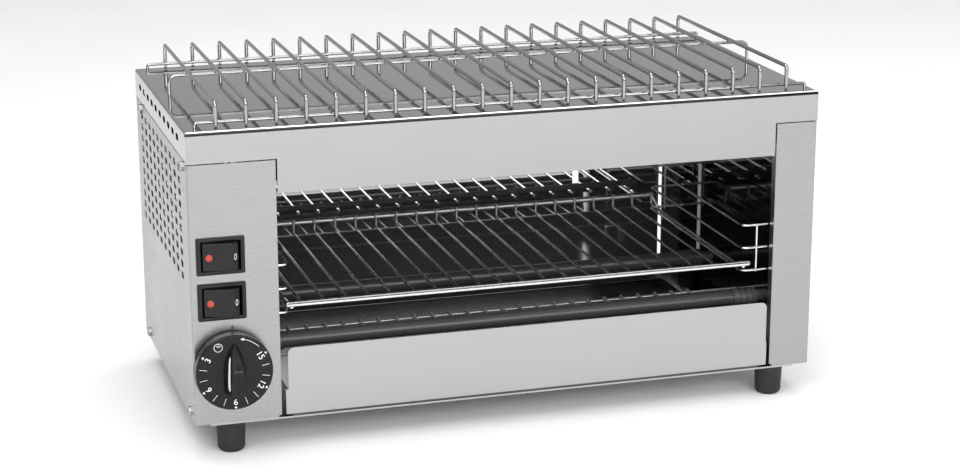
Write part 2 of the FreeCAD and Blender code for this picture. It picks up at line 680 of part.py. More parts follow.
def wire_solid(points, dia, radii=None):
    path = route(points, radii) if len(points) > 2 else Part.Wire([Part.LineSegment(V(*points[0]), V(*points[1])).toShape()])
    d = V(*points[1]) - V(*points[0])
    circle = Part.Wire([Part.Circle(V(*points[0]), d, dia / 2.0).toShape()])
    solid = path.makePipeShell([circle], True, False)
    if solid.Volume < 0:
        solid.reverse()
    want = math.pi * dia * dia / 4 * path.Length
    if abs(solid.Volume - want) > 0.02 * want:
        raise RuntimeError("wire volume %.2f, expected %.2f" % (solid.Volume, want))
    return solid


def ball(p, dia):
    return Part.makeSphere(dia / 2.0, V(*p))


def solid_feature(label, shape):
    f = doc.addObject("Part::Feature", label)
    f.Shape = shape
    seat(f)
    return keep(f, label)


def weld(parts):
    s = parts[0].multiFuse(parts[1:])
    s = s.removeSplitter()
    if len(s.Solids) != 1:
        raise RuntimeError("wire work falls into %d pieces" % len(s.Solids))
    return s.Solids[0]


WIRE, ROD = N["wire"], N["rod"]
PEN = 0.25               # how far crossing wires sink into each other at a weld

# Warming rack: inverted-U wires outside the front and rear rods, a middle rod under them
legs_front, legs_rear = 9.6, 211.6
WT, WR = N["top_wire"], N["top_rod"]
STEP = (WT + WR) / 2 - PEN
rods_front, rods_rear = legs_front + STEP, legs_rear - STEP
parts = []
for k in range(int(N["wire_count"])):
    x = N["top_first"] + N["top_pitch"] * k
    parts.append(wire_solid([(x, legs_front, N["top_leg_z"]), (x, legs_front, N["top_wire_z"]),
                             (x, legs_rear, N["top_wire_z"]), (x, legs_rear, N["top_leg_z"])], WT, 2.8))
for y in (rods_front, rods_rear):
    parts.append(wire_solid([(8.4, y, 198.3), (8.4, y, N["top_rod_z"]), (434.8, y, N["top_rod_z"]), (434.8, y, 198.3)], WR, 1.9))
zm = N["top_wire_z"] - STEP
parts.append(wire_solid([(8.7, 112, 198.3), (8.7, 112, zm), (434.5, 112, zm), (434.5, 112, 198.3)], WR, 5.0))
solid_feature("top_warming_rack", weld(parts))

# Toast rack
parts = []
rail_y, rail_z = 6.5, 76.0
for k in range(int(N["wire_count"])):
    x = N["toast_first"] + N["toast_pitch"] * k
    yv = N["rear_rail_y"] - 2.15 - WIRE / 2 + PEN
    parts.append(wire_solid([(x, rail_y + 0.4, N["toast_z"]), (x, yv, N["toast_z"]), (x, yv, N["rear_rail_z"] + 2.6)], WIRE, 2.4))
parts.append(wire_solid([(63.5 + 2, rail_y, rail_z), (396 - 2, rail_y, rail_z)], N["rail"]))
parts.append(ball((65.5, rail_y, rail_z), N["rail"]))
parts.append(ball((394.0, rail_y, rail_z), N["rail"]))
parts.append(wire_solid([(66.7, 11.0, N["toast_z"] - WIRE + PEN), (392.5, 11.0, N["toast_z"] - WIRE + PEN)], WIRE))
parts.append(wire_solid([(71.5, N["rear_rail_y"], N["rear_rail_z"]), (386.8, N["rear_rail_y"], N["rear_rail_z"])], 4.3))
parts.append(ball((71.5, N["rear_rail_y"], N["rear_rail_z"]), 4.3))
parts.append(ball((386.8, N["rear_rail_y"], N["rear_rail_z"]), 4.3))
low_z = N["level_low"] + WIRE / 2 + 0.3 + ROD / 2
for xo, xi in ((68.1, 72.2), (391.1, 386.9)):
    parts.append(wire_solid([(xo, rail_y + 0.5, low_z + 1.6), (xo, 30.0, low_z), (xo, 170.5, low_z), (xi, 175.0, N["rear_rail_z"] - 1.2)],
                            ROD, [40.0, 4.0]))
solid_feature("toast_rack", weld(parts))


# Runner guides: three level loops and two uprights each, hooked against the liner
def guide(label, wall, inner, post):
    parts = []
    for k in range(3):
        z = N["level_low"] + N["level_pitch"] * k
        parts.append(wire_solid([(wall, 9.0, z), (inner, 9.0, z), (inner, 188.0, z), (wall, 188.0, z)], WIRE, 4.0))
    top = N["level_low"] + 2 * N["level_pitch"] + 0.6
    for y in (9.0 + WIRE - PEN, 188.0 - WIRE + PEN):
        parts.append(wire_solid([(post, y, N["level_low"] - 1.5), (post, y, top)], WIRE))
    return solid_feature(label, weld(parts))


guide("left_runner_guide", N["liner_left"], N["guide_left"], 56.5)
guide("right_runner_guide", N["liner_right"], N["guide_right"], 402.0)

# Guard grid under the lower front tube: cross wires bent down at the back, on three long rods
parts = []
for k in range(24):
    x = 80.2 + 13.05 * k
    parts.append(wire_solid([(x, 31.5, 33.6), (x, 83.0, 35.2), (x, 92.5, 26.0)], 1.8, [1.8]))
for y, z in ((34.5, 33.6 - 1.6), (81.3, 33.5), (90.0, 26.1)):
    parts.append(wire_solid([(N["liner_left"], y, z), (N["liner_right"], y, z)], 2.0))
solid_feature("lower_guard_grid", weld(parts))

# ---------------------------------------------------------------- crumb tray
front = new_body("crumb_tray_front")
sk = sketch(front, "outline", "XZ", 0)
TB, TS, TT = D["tray_bottom"], D["tray_step_z"], D["tray_top"]
loop(sk, [(D["tray_foot_left"], TB), (D["tray_foot_right"], TB), (D["tray_foot_right"], TS), (D["tray_right"], TS),
          (D["tray_right"], TT), (D["tray_left"], TT), (D["tray_left"], TS), (D["tray_foot_left"], TS)])
pad(front, "plate", sk, T, back=True)
pad_box(front, "hem", D["tray_left"] + 5, D["tray_right"] - 5, T, T * 2, TT - 8, TT)
round_edges(front, "corners", D["tray_corner"],
            lambda e: straight(e, 1) and near(e.Length, TW) and near(mid(e).z, N["tray_top"]) and
            (near(mid(e).x, N["tray_left"]) or near(mid(e).x, N["tray_right"])))
seat(front)
keep(front, "crumb_tray_front")

tray = new_body("crumb_tray_pan")
IL, IR, IB, IH = D["pan_in_left"], D["pan_in_right"], D["pan_in_back"], D["pan_in_high"]
pad_box(tray, "block", IL, IR, T, IB, 0, IH)
pocket_box(tray, "hollow", IL + LS, IR - LS, T + LS, IB - LS, LS, IH + 1)
pad_box(tray, "front_wall", IL, IR, T, T + LS, 0, 30)
seat(tray)
keep(tray, "crumb_tray_pan")


# ---------------------------------------------------------------- switches
def switch(prefix, zc):
    sx = D["switch_x"]
    bw, bh = D["bezel_wide"], D["bezel_high"]
    mw, mh = D["mouth_wide"], D["mouth_high"]
    body = new_body(prefix + "_switch_housing")
    pad_box(body, "bezel", sx - bw / 2, sx + bw / 2, -D["bezel_proud"], 0, zc - bh / 2, zc + bh / 2)
    round_edges(body, "bezel_bevel", 0.9, lambda e: near(mid(e).y, -N["bezel_proud"]) and
                (straight(e, 0) or straight(e, 2)), kind="PartDesign::Chamfer")
    pad_box(body, "body", sx - D["body_wide"] / 2, sx + D["body_wide"] / 2, 0, D["body_deep"],
            zc - D["body_high"] / 2, zc + D["body_high"] / 2)
    pocket_box(body, "mouth", sx - mw / 2, sx + mw / 2, -D["bezel_proud"] - 1, 14, zc - mh / 2, zc + mh / 2)
    sk = sketch(body, "pin_holes", "XY", zc - D["body_high"] / 2 - 1)
    ring(sk, 20, D["rocker_pin_y"], D["rocker_pin"] + D["running_gap"])
    pocket(body, "pin_hole_pocket", sk, D["body_high"] + 2, back=True)
    for k, x in enumerate((11.4, 20.4, 29.4)):
        pad_box(body, "blade_%d" % k, x - 0.4, x + 0.4, D["body_deep"], D["body_deep"] + 8, zc - 3.15, zc + 3.15)
    seat(body)
    keep(body, prefix + "_switch_housing")

    rk = new_body(prefix + "_rocker")
    rh = D["rocker_high"]
    sk = sketch(rk, "plan", "XY", zc - rh / 2)
    loop(sk, [(8.35, -2.0), (27.1, -6.9), (31.7, -2.7), (30.6, 6.5), (20, 9.5), (9.8, 6.5)])
    pad(rk, "wedge", sk, rh)
    sk = sketch(rk, "pins", "XY", zc - D["body_high"] / 2 + 0.1)
    ring(sk, 20, D["rocker_pin_y"], D["rocker_pin"])
    pad(rk, "trunnions", sk, D["body_high"] - 0.2)
    # blind seat for the lens, square to the long face
    seat(rk)
    tilt = math.atan2(4.9, 18.75)
    nrm = V(-math.sin(tilt), -math.cos(tilt), 0)
    face = V(12.4, -2.0 - (12.4 - 8.35) * 4.9 / 18.75, zc.value)
    hole = Part.makeCylinder(2.5, 2.4, face - nrm * 2.0, nrm)
    lens = Part.makeCylinder(2.5, 2.0, face - nrm * 2.0, nrm)
    dome = Part.makeCylinder(2.2, 0.35, face, nrm)
    cutter = doc.addObject("Part::Feature", prefix + "_lens_seat")
    cutter.Shape = hole
    seat(cutter)
    cut = doc.addObject("Part::Cut", prefix + "_rocker_cut")
    cut.Base = rk
    cut.Tool = cutter
    doc.recompute()
    keep(cut, prefix + "_rocker")
    solid_feature(prefix + "_lens", lens.fuse(dome).removeSplitter().Solids[0])


switch("upper", D["switch_upper_z"])
switch("lower", D["switch_lower_z"])

# ---------------------------------------------------------------- timer
KX, KZ = D["knob_x"], D["knob_z"]
body = new_body("timer_body")
pad_box(body, "works", 8.4, 37.4, 2.5, 34, KZ - 21, KZ + 21)
pad_box(body, "bracket", 8.4, 42.4, T, 2.5, KZ - 14, KZ + 14)
sk = sketch(body, "bush", "XZ", -1.2)
ring(sk, KX, KZ, 5.0)
pad(body, "bush_pad", sk, 4, back=True)
sk = sketch(body, "bore", "XZ", -2)
ring(sk, KX, KZ, D["shaft_radius"] + D["running_gap"])
pocket(body, "bore_pocket", sk, 24)
sk = sketch(body, "tapped", "XZ", 0)
ring(sk, KX - 10, KZ, 1.5)
ring(sk, KX + 10, KZ, 1.5)
pocket(body, "tapped_pocket", sk, 8)
for k, (x, z) in enumerate(((16, 28), (30, 28), (16, 50))):
    pad_box(body, "blade_%d" % k, x - 3, x + 3, 34, 41, z - 0.4, z + 0.4)
seat(body)
keep(body, "timer_body")

body = new_body("timer_shaft")
sk = sketch(body, "round", "XZ", 21.5)
ring(sk, KX, KZ, D["shaft_radius"])
pad(body, "shaft", sk, 21.5 + 18)
sk = sketch(body, "flat", "XZ", -6)
box_loop(sk, KX + 1.8, KX + 4, KZ - 4, KZ + 4)
pocket(body, "flat_pocket", sk, 13, back=True)
seat(body)
keep(body, "timer_shaft")

knob = new_body("timer_knob")
KF, KB, KR, WH = D["knob_face"], D["knob_back"], D["knob_radius"], D["wing_high"]
sk = sketch(knob, "disc", "XZ", -KB)
ring(sk, KX, KZ, KR)
pad(knob, "disc_pad", sk, KF - KB)
sk = sketch(knob, "under", "XZ", -KB)
ring(sk, KX, KZ, KR - 2.2)
ring(sk, KX, KZ, 6.0)
pocket(knob, "under_pocket", sk, KF - KB - 2.5, back=True)
# wing handle: pointed above, square below, narrower at its crest
base_pts = [(0, 20.5), (-3.8, 15.8), (-6.2, 9.5), (-7.4, 1), (-7.55, -5), (-7.4, -12.6), (-6.0, -15.4),
            (6.0, -15.4), (7.4, -12.6), (7.55, -5), (7.4, 1), (6.2, 9.5), (3.8, 15.8)]
crest_pts = [(0, 18.9), (-2.3, 14.4), (-3.7, 8.8), (-4.3, 1), (-4.4, -4), (-4.3, -9.8), (-3.4, -12.0),
             (3.4, -12.0), (4.3, -9.8), (4.4, -4), (4.3, 1), (3.7, 8.8), (2.3, 14.4)]
s1 = sketch(knob, "wing_foot", "XZ", -KF + 0.5)
loop(s1, [(KX + a, KZ + b) for a, b in base_pts])
s2 = sketch(knob, "wing_crest", "XZ", -KF - WH)
loop(s2, [(KX + a, KZ + b) for a, b in crest_pts])
lf = knob.newObject("PartDesign::AdditiveLoft", "wing")
lf.Profile = s1
lf.Sections = [s2]
lf.Ruled = True
doc.recompute()
# the crest falls away to the pointed end
sk = sketch(knob, "wing_slope", "YZ", KX - 9)
loop(sk, [(-KF - WH - 0.2, KZ + 4.2), (-KF - WH + 0.9, KZ + 7.6), (-KF - WH + 3.4, KZ + 10.4), (-KF - WH + 9.2, KZ + 14.6), (-KF - 2.6, KZ + 18.6), (-KF - 2.3, KZ + 21.5),
          (-KF - WH - 0.2, KZ + 21.5)])
pocket(knob, "wing_slope_pocket", sk, 18, back=True)
# D-shaped seat for the shaft
sk = sketch(knob, "seat_round", "XZ", -KB + 1)
ring(sk, KX, KZ, D["shaft_radius"])
pocket(knob, "seat_round_pocket", sk, size(19) - KB, back=True)
seat(knob)
keep(knob, "timer_knob")

# ---------------------------------------------------------------- feet
for nm, x, y in (("foot_front_left", D["foot_inset_x"], D["foot_front_y"]),
                 ("foot_front_right", W - D["foot_inset_x"], D["foot_front_y"]),
                 ("foot_rear_left", D["foot_inset_x"], D["foot_rear_y"]),
                 ("foot_rear_right", W - D["foot_inset_x"], D["foot_rear_y"])):
    body = new_body(nm)
    sk = sketch(body, "profile", "XZ", y)
    low = -PD - D["foot_high"]
    loop(sk, [(x + 2.1, -PD), (x + D["foot_top"], -PD), (x + D["foot_foot"], low + D["foot_round"]),
              (x + D["foot_foot"] - 0.9, low + 0.9), (x + D["foot_foot"] - D["foot_round"], low),
              (x + 4.4, low), (x + 4.4, low + 10), (x + 2.1, low + 10)])
    rev = body.newObject("PartDesign::Revolution", "turned")
    rev.Profile = sk
    axis = sk.addGeometry(Part.LineSegment(V(x.value, 0, 0), V(x.value, 10, 0)), True)
    pin_point(sk, axis, 1, x, 0)
    pin_point(sk, axis, 2, x, 10)
    rev.ReferenceAxis = (sk, ["Axis0"])
    rev.Angle = 360
    sk.Visibility = False
    doc.recompute()
    seat(body)
    keep(body, nm)


# ---------------------------------------------------------------- fasteners
def screw(name, x, y, z, axis, length, head=None, high=None, shank=None):
    """Pan-head screw: the head's seat at (x, y, z), the shank running along +axis."""
    head = N["screw_head"] if head is None else head
    high = N["screw_head_high"] if high is None else high
    shank = N["screw_shank"] if shank is None else shank
    a = V(*axis)
    p = V(x, y, z)
    h = Part.makeCylinder(head, high, p - a * high, a)
    rim = [e for e in h.Edges if isinstance(e.Curve, Part.Circle) and abs((e.CenterOfMass - (p - a * high)).Length) < 0.01]
    h = h.makeFillet(min(0.9, high * 0.4), rim)
    s = Part.makeCylinder(shank, length, p, a)
    s = s.makeChamfer(0.4, [e for e in s.Edges if isinstance(e.Curve, Part.Circle) and (e.CenterOfMass - (p + a * length)).Length < 0.01])
    drive = Part.makeBox(head * 1.1, head * 0.28, 1.0, V(-head * 0.55, -head * 0.14, 0))
    drive = drive.fuse(Part.makeBox(head * 0.28, head * 1.1, 1.0, V(-head * 0.14, -head * 0.55, 0)))
    drive.Placement = FreeCAD.Placement(p - a * (high + 0.001), FreeCAD.Rotation(V(0, 0, 1), a))
    out = h.fuse(s).cut(drive).removeSplitter()
    return out.Solids[0]


def screw_group(label, solids):
    return solid_feature(label, Part.Compound(solids))


spots = [(N["screw_front_y"], N["screw_upper_z"]), (N["screw_rear_y"], N["screw_upper_z"]),
         (N["screw_low_front_y"], N["screw_lower_z"]), (N["screw_low_rear_y"], N["screw_lower_z"])]
screw_group("side_screws_left", [screw("s", 0, y, z, (1, 0, 0), N["screw_length"]) for y, z in spots])
screw_group("side_screws_right", [screw("s", N["case_width"], y, z, (-1, 0, 0), N["screw_length"]) for y, z in spots])
screw_group("rear_screws", [screw("s", x, N["case_depth"], 189, (0, -1, 0), N["screw_length"]) for x in REAR_SCREWS])
foot_z = -N["pan_drop"] - N["foot_high"] + 10
screw_group("foot_screws", [screw("s", x, y, foot_z, (0, 0, 1), 14.0)
                            for x in (N["foot_inset_x"], N["case_width"] - N["foot_inset_x"])
                            for y in (N["foot_front_y"], N["foot_rear_y"])])
screw_group("timer_screws", [screw("s", N["knob_x"] + s, 0, N["knob_z"], (0, 1, 0), 6.0, 2.6, 1.4, 1.45) for s in (-10, 10)])

# ---------------------------------------------------------------- electrical
FZ = FLOOR.value
block = new_body("terminal_block")
pad_box(block, "foot", 12.2, 39.6, 148, 172, FLOOR, FLOOR + 6)
pad_box(block, "ridge", 12.2, 39.6, 153, 167, FLOOR + 6, FLOOR + 15)
sk = sketch(block, "wells", "XY", FLOOR + 15)
for x in (17, 26, 35):
    ring(sk, x, 160, 3)
pocket(block, "well_pocket", sk, 6)
sk = sketch(block, "wire_bores", "XZ", 146)
for x in (17, 26, 35):
    ring(sk, x, FLOOR + 9, 1.7)
pocket(block, "wire_bore_pocket", sk, 12)
sk = sketch(block, "wire_bores_rear", "XZ", 174)
for x in (17, 26, 35):
    ring(sk, x, FLOOR + 9, 1.7)
pocket(block, "wire_bore_rear_pocket", sk, 12, back=True)
seat(block)
keep(block, "terminal_block")

GX, GZ, GY = 24.0, 46.0, N["back_y"]
gl = Part.makeCylinder(11, 6, V(GX, GY + 1, GZ), V(0, 1, 0))
hexa = Part.makePolygon([V(GX + 11 * math.cos(math.radians(60 * i)), GY + 1, GZ + 11 * math.sin(math.radians(60 * i))) for i in range(7)])
gl = Part.Face(hexa).extrude(V(0, 6, 0))
gl = gl.fuse(Part.makeCone(9, 6.5, 8, V(GX, GY + 7, GZ), V(0, 1, 0)))
gl = gl.fuse(Part.makeCylinder(8.0, 9, V(GX, GY - 8, GZ), V(0, 1, 0)))
gl = gl.cut(Part.makeCylinder(3.6, 40, V(GX, GY - 12, GZ), V(0, 1, 0))).removeSplitter()
solid_feature("cable_gland", gl.Solids[0])
hexa = Part.makePolygon([V(GX + 11.5 * math.cos(math.radians(60 * i + 30)), GY - 5, GZ + 11.5 * math.sin(math.radians(60 * i + 30))) for i in range(7)])
nut = Part.Face(hexa).extrude(V(0, 5, 0)).cut(Part.makeCylinder(8.0, 10, V(GX, GY - 8, GZ), V(0, 1, 0)))
solid_feature("gland_nut", nut.Solids[0])

stud = Part.makeCylinder(2.0, 13, V(24, 182, FZ), V(0, 0, 1))
hexa = Part.makePolygon([V(24 + 4 * math.cos(math.radians(60 * i)), 182 + 4 * math.sin(math.radians(60 * i)), FZ + 4) for i in range(7)])
stud = stud.fuse(Part.Face(hexa).extrude(V(0, 0, 3))).fuse(Part.makeCylinder(4.5, 1, V(24, 182, FZ + 3), V(0, 0, 1)))
stud = stud.fuse(Part.makeCylinder(4.5, 1, V(24, 182, FZ), V(0, 0, 1)))
solid_feature("earth_stud", stud.removeSplitter().Solids[0])

# crimp terminals: a pin out of each cap, then a barrel turned up (left) or back along y (right)
pins = []
xl = N["liner_left"] - N["liner_skin"] - 3
xr = N["liner_right"] + N["liner_skin"] + 3
for nm, y, z in TUBES:
    y, z = y.value, z.value
    up = 1 if nm.startswith("lower") else -1
    pins.append(Part.makeCylinder(0.9, 6.0 + 3.2, V(xl + 6.0, y, z), V(-1, 0, 0)).fuse(
        Part.makeCylinder(1.9, 8, V(xl - 3.2, y, z - 1.0 * up), V(0, 0, up))).removeSplitter().Solids[0])
    back = 1 if nm.endswith("front") else -1
    pins.append(Part.makeCylinder(0.9, 6.0 + 5.0, V(xr - 6.0, y, z), V(1, 0, 0)).fuse(
        Part.makeCylinder(1.9, 8, V(xr + 5.0, y - 1.0 * back, z), V(0, back, 0))).removeSplitter().Solids[0])
screw_group("tube_terminals", pins)

# insulated leads inside the casing
LEAD = 2.4
xt = xl - 3.2
zb = FZ + 9
zu, zl = N["switch_upper_z"], N["switch_lower_z"]


def lead(label, pts):
    radii = []
    for i in range(1, len(pts) - 1):
        a, b, c = V(*pts[i - 1]), V(*pts[i]), V(*pts[i + 1])
        u, w = a - b, c - b
        half = (math.pi - u.getAngle(w)) / 2
        radii.append(0.45 * min(u.Length, w.Length) / math.tan(half))
    print(label, "radii", [round(r, 1) for r in radii])
    return solid_feature(label, wire_solid(pts, LEAD, None))


lead("live_wire", [(17, 148, zb), (17, 128, zb), (15, 100, 22), (15, 72, 26), (16, 41.2, 28)])
lead("timer_wire", [(30, 41.2, 28), (30, 56, 29), (24, 68, 44), (20, 66, 62), (20.4, 50, 76), (20.4, 30.2, 80)])
lead("switch_link_wire", [(11.4, 30.2, 87), (11.4, 42, 88), (11.4, 49, 99), (11.4, 42, 110), (11.4, 30.2, 111)])
lead("upper_element_wire", [(29.4, 30.2, 118), (30, 42, 120), (34, 50, 130), (39, 48, 139), (xt, 45, 148), (xt, 45, 159.5)])
lead("lower_element_wire", [(29.4, 30.2, 82), (30, 42, 82), (35, 50, 79), (40, 46, 74), (xt, 36, 70), (xt, 28, 63), (xt, 28, 51.5)])
lead("upper_neutral_wire", [(35, 148, zb), (35, 136, 10), (33, 124, 30), (34, 124, 60), (36, 130, 95), (39, 142, 124),
                            (xt, 152, 143), (xt, 152, 159.5)])
lead("lower_neutral_wire", [(26, 148, zb), (26, 136, 11), (28, 128, 28), (31, 120, 46), (34, 116, 64), (39, 120, 76),
                            (xt, 129, 72), (xt, 130, 62), (xt, 130, 51.5)])
lead("earth_wire", [(26, 172, zb), (26, 177, 12), (28.5, 177.5, 19), (32, 181, 19), (30.5, 182, 11), (29.7, 182, FZ + 3.5)])
xj = xr + 5.0
lead("upper_jumper", [(xj, 52, 166.5), (xj, 75, 166.5), (xj - 1.5, 98.5, 160), (xj, 122, 166.5), (xj, 145, 166.5)])
lead("lower_jumper", [(xj, 35, 44.5), (xj, 55, 44.5), (xj - 1.5, 79, 38), (xj, 103, 44.5), (xj, 123, 44.5)])

# ---------------------------------------------------------------- check and write
doc.recompute()
bad = []
for obj in doc.Objects:
    if "Invalid" in obj.State or "Error" in obj.State:
        bad.append("%s (%s): %s" % (obj.Label, obj.TypeId, obj.State))
for label, obj in made.items():
    s = obj.Shape
    if s.isNull() or not s.isValid() or not s.Solids:
        bad.append("%s: shape not usable" % label)
if bad:
    raise RuntimeError("failed objects:\n" + "\n".join(bad))
if len(made) > 60:
    raise RuntimeError("%d pieces" % len(made))

os.makedirs("parts", exist_ok=True)
for label, obj in made.items():
    obj.Shape.exportStep(os.path.join("parts", label + ".step"))
    bb = obj.Shape.BoundBox
    print("%-24s %2d solid(s) %10.1f mm3  x %.1f..%.1f y %.1f..%.1f z %.1f..%.1f" %
          (label, len(obj.Shape.Solids), obj.Shape.Volume, bb.XMin, bb.XMax, bb.YMin, bb.YMax, bb.ZMin, bb.ZMax))
print(len(made), "pieces written")
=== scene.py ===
import bpy
import bmesh
import math
import random
from mathutils import Matrix, Vector


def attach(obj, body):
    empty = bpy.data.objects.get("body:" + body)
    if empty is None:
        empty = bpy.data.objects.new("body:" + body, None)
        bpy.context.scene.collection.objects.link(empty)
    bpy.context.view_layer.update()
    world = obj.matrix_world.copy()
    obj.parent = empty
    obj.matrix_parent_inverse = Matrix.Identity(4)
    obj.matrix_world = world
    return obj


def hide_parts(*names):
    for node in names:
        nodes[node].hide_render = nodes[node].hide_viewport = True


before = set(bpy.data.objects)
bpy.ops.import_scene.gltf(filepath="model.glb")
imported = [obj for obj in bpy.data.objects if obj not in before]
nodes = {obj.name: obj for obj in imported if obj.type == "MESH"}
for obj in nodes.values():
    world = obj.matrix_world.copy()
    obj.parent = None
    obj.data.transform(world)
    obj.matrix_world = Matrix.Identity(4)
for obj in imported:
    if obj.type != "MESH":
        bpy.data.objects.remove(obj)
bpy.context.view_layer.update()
scene = bpy.context.scene
rng = random.Random(7)

# ------------------------------------------------------------------ places
# Casing coordinates in mm: x from the left side face, y back from the front face, z up from
# the casing's underside.  P() carries them into the frame, in metres.
OX, OY, OZ = -220.0, -95.1, 22.5


def P(x, y, z):
    return Vector(((x + OX) / 1000.0, (y + OY) / 1000.0, (z + OZ) / 1000.0))


# ------------------------------------------------------------------ mesh helpers
def build(name, verts, faces, smooth=True, angle=35.0):
    """A mesh object from casing-coordinate points; edges sharper than the angle stay sharp."""
    me = bpy.data.meshes.new(name)
    me.from_pydata([P(*v) for v in verts], [], faces)
    me.validate()
    bm = bmesh.new()
    bm.from_mesh(me)
    bmesh.ops.remove_doubles(bm, verts=bm.verts, dist=1e-7)
    bmesh.ops.recalc_face_normals(bm, faces=bm.faces)
    limit = math.radians(angle)
    for f in bm.faces:
        f.smooth = smooth
    for e in bm.edges:
        e.smooth = not (len(e.link_faces) == 2 and e.calc_face_angle(0.0) > limit)
    bm.to_mesh(me)
    bm.free()
    ob = bpy.data.objects.new(name, me)
    scene.collection.objects.link(ob)
    return ob


class Lump:
    """Collects several closed shapes into one mesh."""

    def __init__(self):
        self.v, self.f = [], []

    def add(self, verts, faces):
        k = len(self.v)
        self.v.extend(verts)
        self.f.extend([tuple(i + k for i in f) for f in faces])

    def done(self, name, **kw):
        return build(name, self.v, self.f, **kw)


def rings_solid(rings, cap_first=True, cap_last=True, closed=False):
    """Skins a list of equal-length point rings."""
    n = len(rings[0])
    v = [p for r in rings for p in r]
    f = []
    m = len(rings)
    for i in range(m if closed else m - 1):
        a, b = i * n, ((i + 1) % m) * n
        for k in range(n):
            q = (k + 1) % n
            f.append((a + k, a + q, b + q, b + k))
    if not closed:
        if cap_first:
            f.append(tuple(reversed(range(n))))
        if cap_last:
            f.append(tuple(range((m - 1) * n, m * n)))
    return v, f


def lathe(profile, axis, centre, seg=64, closed=False):
    """Turns (radius, along) pairs about an axis x, y or z through the centre."""
    cx, cy, cz = centre
    rings = []
    for r, t in profile:
        ring = []
        for k in range(seg):
            a = 2 * math.pi * k / seg
            c, s = r * math.cos(a), r * math.sin(a)
            if axis == "x":
                ring.append((t, cy + c, cz + s))
            elif axis == "y":
                ring.append((cx + c, t, cz + s))
            else:
                ring.append((cx + c, cy + s, t))
        rings.append(ring)
    return rings_solid(rings, closed=closed)


def tube(points, radius, sides=10, ends=True, radii=None):
    """A round wire along a polyline of mm points, its ring turned along with the path."""
    pts = [Vector(p) for p in points]
    n = len(pts)
    tang = []
    for i in range(n):
        a = pts[max(i - 1, 0)]
        b = pts[min(i + 1, n - 1)]
        tang.append((b - a).normalized())
    up = Vector((0, 0, 1)) if abs(tang[0].z) < 0.9 else Vector((1, 0, 0))
    nrm = (up - tang[0] * up.dot(tang[0])).normalized()
    rings = []
    for i in range(n):
        if i:
            nrm = (nrm - tang[i] * nrm.dot(tang[i])).normalized()
        bi = tang[i].cross(nrm)
        r = radii[i] if radii else radius
        rings.append([tuple(pts[i] + (nrm * math.cos(2 * math.pi * k / sides) + bi * math.sin(2 * math.pi * k / sides)) * r)
                      for k in range(sides)])
    return rings_solid(rings, cap_first=ends, cap_last=ends)


def bead(centre, half, sides=8, stacks=5, turn=None):
    """A small flattened drop of metal: half is its half-size along x, y and z."""
    v, f = [], []
    m = turn or Matrix.Identity(3)
    c = Vector(centre)
    for i in range(1, stacks):
        a = math.pi * i / stacks
        for k in range(sides):
            b = 2 * math.pi * k / sides
            d = Vector((half[0] * math.sin(a) * math.cos(b), half[1] * math.sin(a) * math.sin(b), half[2] * math.cos(a)))
            v.append(tuple(c + m @ d))
    top = len(v)
    v.append(tuple(c + m @ Vector((0, 0, half[2]))))
    v.append(tuple(c + m @ Vector((0, 0, -half[2]))))
    for i in range(stacks - 2):
        for k in range(sides):
            q = (k + 1) % sides
            f.append((i * sides + k, (i + 1) * sides + k, (i + 1) * sides + q, i * sides + q))
    for k in range(sides):
        q = (k + 1) % sides
        f.append((k, q, top))
        f.append(((stacks - 2) * sides + q, (stacks - 2) * sides + k, top + 1))
    return v, f


def soft_box(lo, hi, r, n=3):
    """A box with rounded edges and corners, radius r."""
    v, f = [], []
    cx = [(a + b) / 2 for a, b in zip(lo, hi)]
    inner = [((b - a) / 2 - r) for a, b in zip(lo, hi)]
    seg = 4 * (n + 1)
    rings = []
    lat = []
    for i in range(n + 1):
        lat.append((-1, math.pi / 2 * i / n))
    for i in range(n + 1):
        lat.append((1, math.pi / 2 * i / n))
    for s, a in lat:
        if s < 0:
            z, rr = -math.cos(a), math.sin(a)
            zo = cx[2] - inner[2] + r * z
        else:
            z, rr = math.sin(a), math.cos(a)
            zo = cx[2] + inner[2] + r * z
        ring = []
        for q, (sx, sy) in enumerate(((1, 1), (-1, 1), (-1, -1), (1, -1))):
            for k in range(n + 1):
                b = math.pi / 2 * (q + k / n)
                ring.append((cx[0] + sx * inner[0] + r * rr * math.cos(b), cx[1] + sy * inner[1] + r * rr * math.sin(b), zo))
        rings.append(ring)
    return rings_solid(rings)


def bevelled(ob, width, segments=2, angle=30.0):
    b = ob.modifiers.new("round", "BEVEL")
    b.width = width / 1000.0
    b.segments = segments
    b.limit_method = "ANGLE"
    b.angle_limit = math.radians(angle)
    b.harden_normals = True
    return ob


